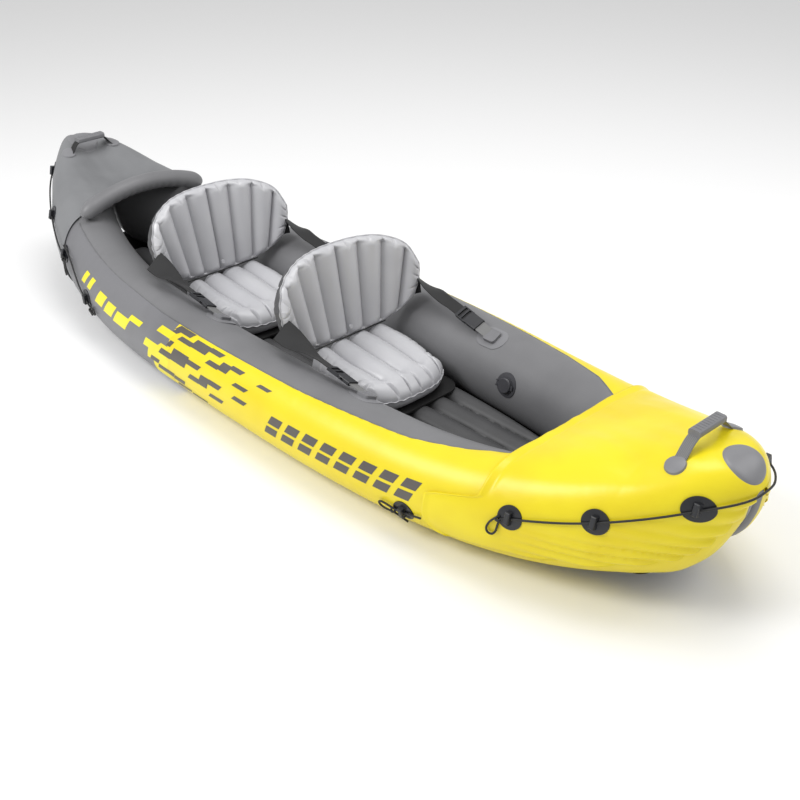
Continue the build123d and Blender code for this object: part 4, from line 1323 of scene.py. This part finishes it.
# ---------------------------------------------------------------- cords
BOW_LINE = (
    (1.052, 0.364, 0.206), (1.042, 0.369, 0.196), (1.033, 0.373, 0.182), (1.028, 0.375, 0.167), (1.032, 0.374, 0.154),
    (1.043, 0.370, 0.151), (1.052, 0.367, 0.160), (1.056, 0.366, 0.175), (1.058, 0.364, 0.191), (1.063, 0.361, 0.204),
    (1.078, 0.357, 0.212), (1.108, 0.348, 0.219), (1.154, 0.333, 0.231), (1.219, 0.309, 0.249), (1.285, 0.279, 0.270),
    (1.350, 0.245, 0.294), (1.417, 0.204, 0.320), (1.482, 0.151, 0.346), (1.522, 0.110, 0.358), (1.548, 0.070, 0.364),
    (1.562, 0.034, 0.368),
)
STERN_LINE = (
    (-1.073, 0.360, 0.211), (-1.063, 0.365, 0.201), (-1.054, 0.368, 0.187), (-1.049, 0.370, 0.172),
    (-1.053, 0.370, 0.159), (-1.064, 0.366, 0.156), (-1.073, 0.363, 0.165), (-1.077, 0.362, 0.180),
    (-1.079, 0.360, 0.196), (-1.084, 0.357, 0.209), (-1.099, 0.352, 0.217), (-1.129, 0.342, 0.226),
    (-1.169, 0.329, 0.240), (-1.234, 0.303, 0.263), (-1.300, 0.272, 0.290), (-1.366, 0.236, 0.320),
    (-1.427, 0.197, 0.351), (-1.483, 0.151, 0.380), (-1.522, 0.110, 0.397), (-1.548, 0.070, 0.405),
    (-1.562, 0.034, 0.408),
)
BOW_TIE = (
    (0.825, 0.406, 0.100), (0.794, 0.410, 0.095), (0.762, 0.414, 0.091), (0.739, 0.418, 0.090), (0.723, 0.421, 0.093),
    (0.707, 0.425, 0.098), (0.693, 0.428, 0.099), (0.683, 0.427, 0.092), (0.685, 0.423, 0.081), (0.698, 0.419, 0.075),
    (0.714, 0.416, 0.074), (0.730, 0.414, 0.075), (0.745, 0.410, 0.071), (0.758, 0.404, 0.063), (0.768, 0.397, 0.054),
)
STERN_TIE = (
    (-1.113, 0.335, 0.246), (-1.061, 0.349, 0.237), (-1.011, 0.366, 0.217), (-0.961, 0.383, 0.189),
    (-0.917, 0.396, 0.161), (-0.871, 0.404, 0.138), (-0.847, 0.408, 0.126), (-0.831, 0.410, 0.123),
    (-0.815, 0.414, 0.126), (-0.801, 0.417, 0.128), (-0.791, 0.418, 0.120), (-0.793, 0.416, 0.109),
    (-0.806, 0.412, 0.102), (-0.822, 0.408, 0.102), (-0.839, 0.405, 0.101), (-0.852, 0.401, 0.095),
    (-0.862, 0.395, 0.083), (-0.869, 0.387, 0.070),
)
KNOTS = ((1.057, 0.363, 0.204), (-1.079, 0.359, 0.209), (0.731, 0.417, 0.084), (-0.831, 0.409, 0.112))


@dataclass
class Cord:
    """One braided cord along its real route."""

    node: str
    route: tuple[Point, ...]
    length: float
    far_end: str
    paint: Paint
    lay: str = "loose"
    diameter: float = 0.006

    def build(self) -> bpy.types.Object:
        """Makes the cord as a round tube on a smooth curve through its route's control points."""
        curve = bpy.data.curves.new(f"line_{self.node}", "CURVE")
        curve.dimensions = "3D"
        spline = curve.splines.new("NURBS")
        spline.points.add(len(self.route) - 1)
        for point, place in zip(spline.points, self.route):
            point.co = (*place, 1.0)
        spline.order_u = 3
        spline.use_endpoint_u = True
        curve.resolution_u = 8
        curve.bevel_depth = self.diameter / 2
        curve.bevel_resolution = 5
        curve.use_fill_caps = True
        piece = bpy.data.objects.new(f"line_{self.node}", curve)
        bpy.context.collection.objects.link(piece)
        self.paint.coat(piece, "rope")
        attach(piece, "hull")
        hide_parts(self.node)
        return piece


@dataclass
class RopeWork:
    """The two grab lines, the four short cords and the knots at their ends."""

    paint: Paint
    turns: int = 3
    coil: float = 0.0062
    cord_radius: float = 0.0030

    def both_sides(self, route: tuple[Point, ...]) -> tuple[Point, ...]:
        """A route that starts at starboard, passes round the hull's end and comes back at port."""
        starboard = tuple((x, -y, z) for x, y, z in route)
        return starboard + tuple(reversed(route))

    def build(self) -> None:
        """Makes every cord and knot."""
        reporter("ropes").info("six cords and eight knots")
        Cord("bow_grab_line", self.both_sides(BOW_LINE), 1.604, "object", self.paint, "taut").build()
        Cord("stern_grab_line", self.both_sides(STERN_LINE), 1.585, "object", self.paint, "taut").build()
        for side in Side:
            label = side.name.lower()
            bow = tuple((x, side.value * y, z) for x, y, z in BOW_TIE)
            stern = tuple((x, side.value * y, z) for x, y, z in STERN_TIE)
            Cord(f"tie_cord_bow_{label}", bow, 0.252, "bare", self.paint).build()
            Cord(f"tie_cord_stern_{label}", stern, 0.469, "bare", self.paint).build()
        self.knots()

    def knots(self) -> None:
        """Winds each knot as crossing turns of cord."""
        made = []
        for x, y, z in KNOTS:
            for side in Side:
                for i in range(self.turns):
                    deselect()
                    bpy.ops.mesh.primitive_torus_add(
                        location=(x, side.value * y, z),
                        rotation=(0.9 * i + 0.3, 1.1 * i, 0.7 * i),
                        major_radius=self.coil,
                        minor_radius=self.cord_radius,
                        major_segments=28,
                        minor_segments=12,
                    )
                    made.append(bpy.context.object)
        piece = join(made, "rope_knot_turns")
        pick(piece)
        bpy.ops.object.transform_apply(location=True, rotation=True, scale=True)
        bpy.ops.object.shade_smooth()
        self.paint.coat(piece, "rope")
        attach(piece, "hull")
        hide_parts("rope_knots")


# ---------------------------------------------------------------- carry handles
@dataclass
class CarryHandle:
    """A carry handle's webbing: one strap from patch to patch, through the moulded grip."""

    name: str
    x: float
    half: float
    paint: Paint
    finish: str
    width: float = 0.036
    thickness: float = 0.0018
    waist: float = 0.050

    def build(self) -> None:
        """Makes the strap."""
        low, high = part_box(f"{self.name}_handle_webbing")
        foot = low.z + 0.0035
        top = high.z - 0.0015

        def place(share: np.ndarray, turn: np.ndarray) -> np.ndarray:
            """Runs flat on the patch, turns up to the grip, along it, and down again."""
            knots = (
                (-self.half - 0.008, foot - 0.006), (-self.half, foot - 0.003), (-self.half + 0.014, foot + 0.004),
                (-self.waist - 0.012, top - 0.012), (-self.waist + 0.006, top - 0.0005), (0.0, top),
                (self.waist - 0.006, top - 0.0005), (self.waist + 0.012, top - 0.012),
                (self.half - 0.014, foot + 0.004), (self.half, foot - 0.003), (self.half + 0.008, foot - 0.006),
            )
            line = through(knots, share)
            away = smooth(0.0, 0.10, np.minimum(share, 1 - share))
            wide = self.width * (0.86 + 0.14 * (1 - away))
            soft = 0.0010 * np.sin(share * 40)
            return np.stack([self.x + (turn - 0.5) * wide + soft * away, line[:, 0], line[:, 1]], axis=1)

        piece = film(f"{self.name}_handle_strap", 90, 8, place)
        modify(piece, "SOLIDIFY", thickness=self.thickness, offset=0.0)
        self.paint.coat(piece, self.finish)
        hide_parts(f"{self.name}_handle_webbing")
        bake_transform(piece)


# ---------------------------------------------------------------- welded discs
@dataclass
class WeldedDisc:
    """A round patch of film pressed onto a cover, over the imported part's own place."""

    node: str
    radius: float
    cover: str
    paint: Paint
    thickness: float = 0.0030
    swell: float = 0.0015
    hover: float = 0.045

    def spots(self) -> list[tuple[np.ndarray, np.ndarray]]:
        """Centre and outward direction of each patch in the part, one for each side if there are two."""
        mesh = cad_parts[self.node].data
        points = np.empty(len(mesh.vertices) * 3)
        mesh.vertices.foreach_get("co", points)
        points = points.reshape(-1, 3)
        wide = np.abs(points[:, 1]).min() > 0.02
        groups = [points[points[:, 1] < 0], points[points[:, 1] > 0]] if wide else [points]
        found = []
        for group in groups:
            centre = (group.min(axis=0) + group.max(axis=0)) / 2
            away = np.linalg.svd(group - group.mean(axis=0), full_matrices=False)[2][2]
            hull = np.array([centre[0] * 0.8, 0.0, 0.15])
            found.append((centre, away * np.sign(away @ (centre - hull))))
        return found

    def build(self) -> None:
        """Makes each disc and lays it onto its cover."""
        made = []
        cover = bpy.data.objects[self.cover]
        for centre, away in self.spots():
            across = np.cross(away, [0.0, 1.0, 0.0])
            across /= np.linalg.norm(across)
            along = np.cross(away, across)

            def place(share: np.ndarray, turn: np.ndarray) -> np.ndarray:
                """Drops rings of points onto the cover and domes them a little."""
                around, reach = math.tau * share, self.radius * turn
                flat = across * (reach * np.cos(around))[:, None] + along * (reach * np.sin(around))[:, None]
                start = centre + away * self.hover + flat
                down = Vector(-away)
                hits = [cover.ray_cast(Vector(p), down) for p in start]
                landed = [h[1] if h[0] else Vector(p) + down * self.hover for h, p in zip(hits, start)]
                proud = self.thickness * dome((1 - turn) * 12) + self.swell * (1 - turn**2)
                return np.array(landed) + away * proud[:, None]

            made.append(film(f"disc_{self.node}", 64, 14, place))
        piece = join(made, f"disc_{self.node}")
        self.paint.coat(piece, "patch")
        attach(piece, "hull")
        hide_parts(self.node)


# ---------------------------------------------------------------- moulded and welded parts
FINISHES = (
    ("anchor_tabs", "grip"),
    ("anchor_webbings", "grey_webbing"),
    ("anchor_patches", "patch"),
    ("bottom_skin", "bottom"),
    ("bow_wear_patch", "bottom"),
    # The cushion bases are black, and their near-black film is darker still, as painted shade under each cushion.
    ("cushion_bases", "bottom"),
    ("skeg_base", "moulded"),
    ("bow_grip", "grip"),
    ("stern_grip", "grip"),
    ("bow_rope", "moulded"),
    ("stern_rope", "moulded"),
    ("buckle", "moulded"),
    ("valve_flanges", "valve"),
    ("valve_bod", "valve"),
    ("valve_cap", "valve"),
    ("seat_piping", "bottom"),
    ("front_backrest_valve", "seat"),
    ("rear_backrest_valve", "seat"),
)


def finish_parts(nodes: dict[str, bpy.types.Object], paint: Paint) -> None:
    """Gives every visible part its material.

    Args:
        nodes: The parts by name.
        paint: The finishes.
    """
    for name, part in nodes.items():
        for start, finish in FINISHES:
            if name.startswith(start) and not part.hide_render:
                paint.coat(part, finish)


# ---------------------------------------------------------------- studio
@dataclass(frozen=True)
class Studio:
    """A pale floor, soft lights and the camera."""

    place: Point = (2.617, -2.173, 1.980)
    target: Point = (0.499, -0.1732, 0.2272)
    lens: float = 53.17
    sensor: float = 36.0
    floor_size: float = 60.0

    def camera(self) -> None:
        """Makes the camera."""
        data = bpy.data.cameras.new("camera")
        data.lens = self.lens
        data.sensor_width = self.sensor
        eye = bpy.data.objects.new("camera", data)
        eye.location = self.place
        eye.rotation_euler = (Vector(self.target) - Vector(self.place)).to_track_quat("-Z", "Y").to_euler()
        bpy.context.collection.objects.link(eye)
        bpy.context.scene.camera = eye

    def light(self, name: str, place: Point, size: float, power: float, target: Point = (0, 0, 0.2)) -> None:
        """Adds a square soft light that faces the kayak."""
        data = bpy.data.lights.new(name, "AREA")
        data.size = size
        data.energy = power
        lamp = bpy.data.objects.new(name, data)
        lamp.location = place
        lamp.rotation_euler = (Vector(target) - Vector(place)).to_track_quat("-Z", "Y").to_euler()
        bpy.context.collection.objects.link(lamp)

    def build(self) -> None:
        """Makes the floor, the lights and the background."""
        deselect()
        bpy.ops.mesh.primitive_plane_add(size=self.floor_size, location=(0, 0, -0.001))
        floor = bpy.context.object
        floor.name = "studio_floor"
        material, _, shader = new_material("studio_floor_white")
        shader.inputs["Base Color"].default_value = linear("F4F4F4")
        shader.inputs["Roughness"].default_value = 0.9
        floor.data.materials.append(material)
        world = bpy.data.worlds.new("studio")
        world.use_nodes = True
        world.node_tree.nodes["Background"].inputs["Color"].default_value = linear("FFFFFF")
        world.node_tree.nodes["Background"].inputs["Strength"].default_value = 0.62
        bpy.context.scene.world = world
        self.light("key_light", (-1.2, -3.4, 3.6), 2.0, 120)
        self.light("top_light", (0.4, 0.6, 4.6), 2.6, 80)
        self.light("rim_light", (2.8, 2.6, 3.0), 2.2, 35)
        bpy.context.scene.view_settings.view_transform = "Standard"


# ---------------------------------------------------------------- the kayak
@dataclass
class Kayak:
    """The whole kayak."""

    paint: Paint
    seats: tuple[Seat, ...] = (Seat("front", 0.090), Seat("rear", -0.592))

    def build_hull(self) -> None:
        """Makes the chambers, their print, the covers, the arch and the floor."""
        for side in Side:
            reporter("chamber").info("side %s", side.name.lower())
            chamber = SideChamber(side, self.paint)
            chamber.build()
            chamber.dress()
            SidePrint(side, self.paint).build()
        reporter("covers").info("bow and stern covers")
        BowDeck(self.paint).build()
        SternDeck(self.paint).build()
        CoamingTube(self.paint).build()
        for name, cover in (("bow", "bow_cover"), ("stern", "stern_cover")):
            WeldedDisc(f"{name}_nose_patch", 0.0575, cover, self.paint, swell=0.004).build()
            WeldedDisc(f"{name}_handle_patches", 0.0275, cover, self.paint, thickness=0.0052).build()
        reporter("floor").info("air floor")
        AirFloor(self.paint).build()

    def build_seats(self) -> None:
        """Makes the cushions, backrests, slings and side straps."""
        for seat in self.seats:
            reporter("seat").info("seat %s", seat.name)
            Cushion(seat, self.paint).build()
            rest = Backrest(seat, self.paint)
            rest.build()
            Sling(rest, self.paint).build()
            for side in Side:
                SeatStrap(seat, side, self.paint).build()

    def build_fittings(self) -> None:
        """Makes the ropes and handles."""
        RopeWork(self.paint).build()
        CarryHandle("bow", 1.386, 0.118, self.paint, "grey_webbing").build()
        CarryHandle("stern", -1.432, 0.096, self.paint, "webbing").build()


def main() -> None:
    """Builds the studio and the kayak."""
    logging.basicConfig(level=logging.INFO, format="%(name)s: %(message)s")
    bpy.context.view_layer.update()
    studio = Studio()
    studio.camera()
    paint = Paint(Palette())
    kayak = Kayak(paint)
    kayak.build_fittings()
    kayak.build_hull()
    kayak.build_seats()
    finish_parts(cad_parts, paint)
    studio.build()


if __name__ == "__main__":
    main()
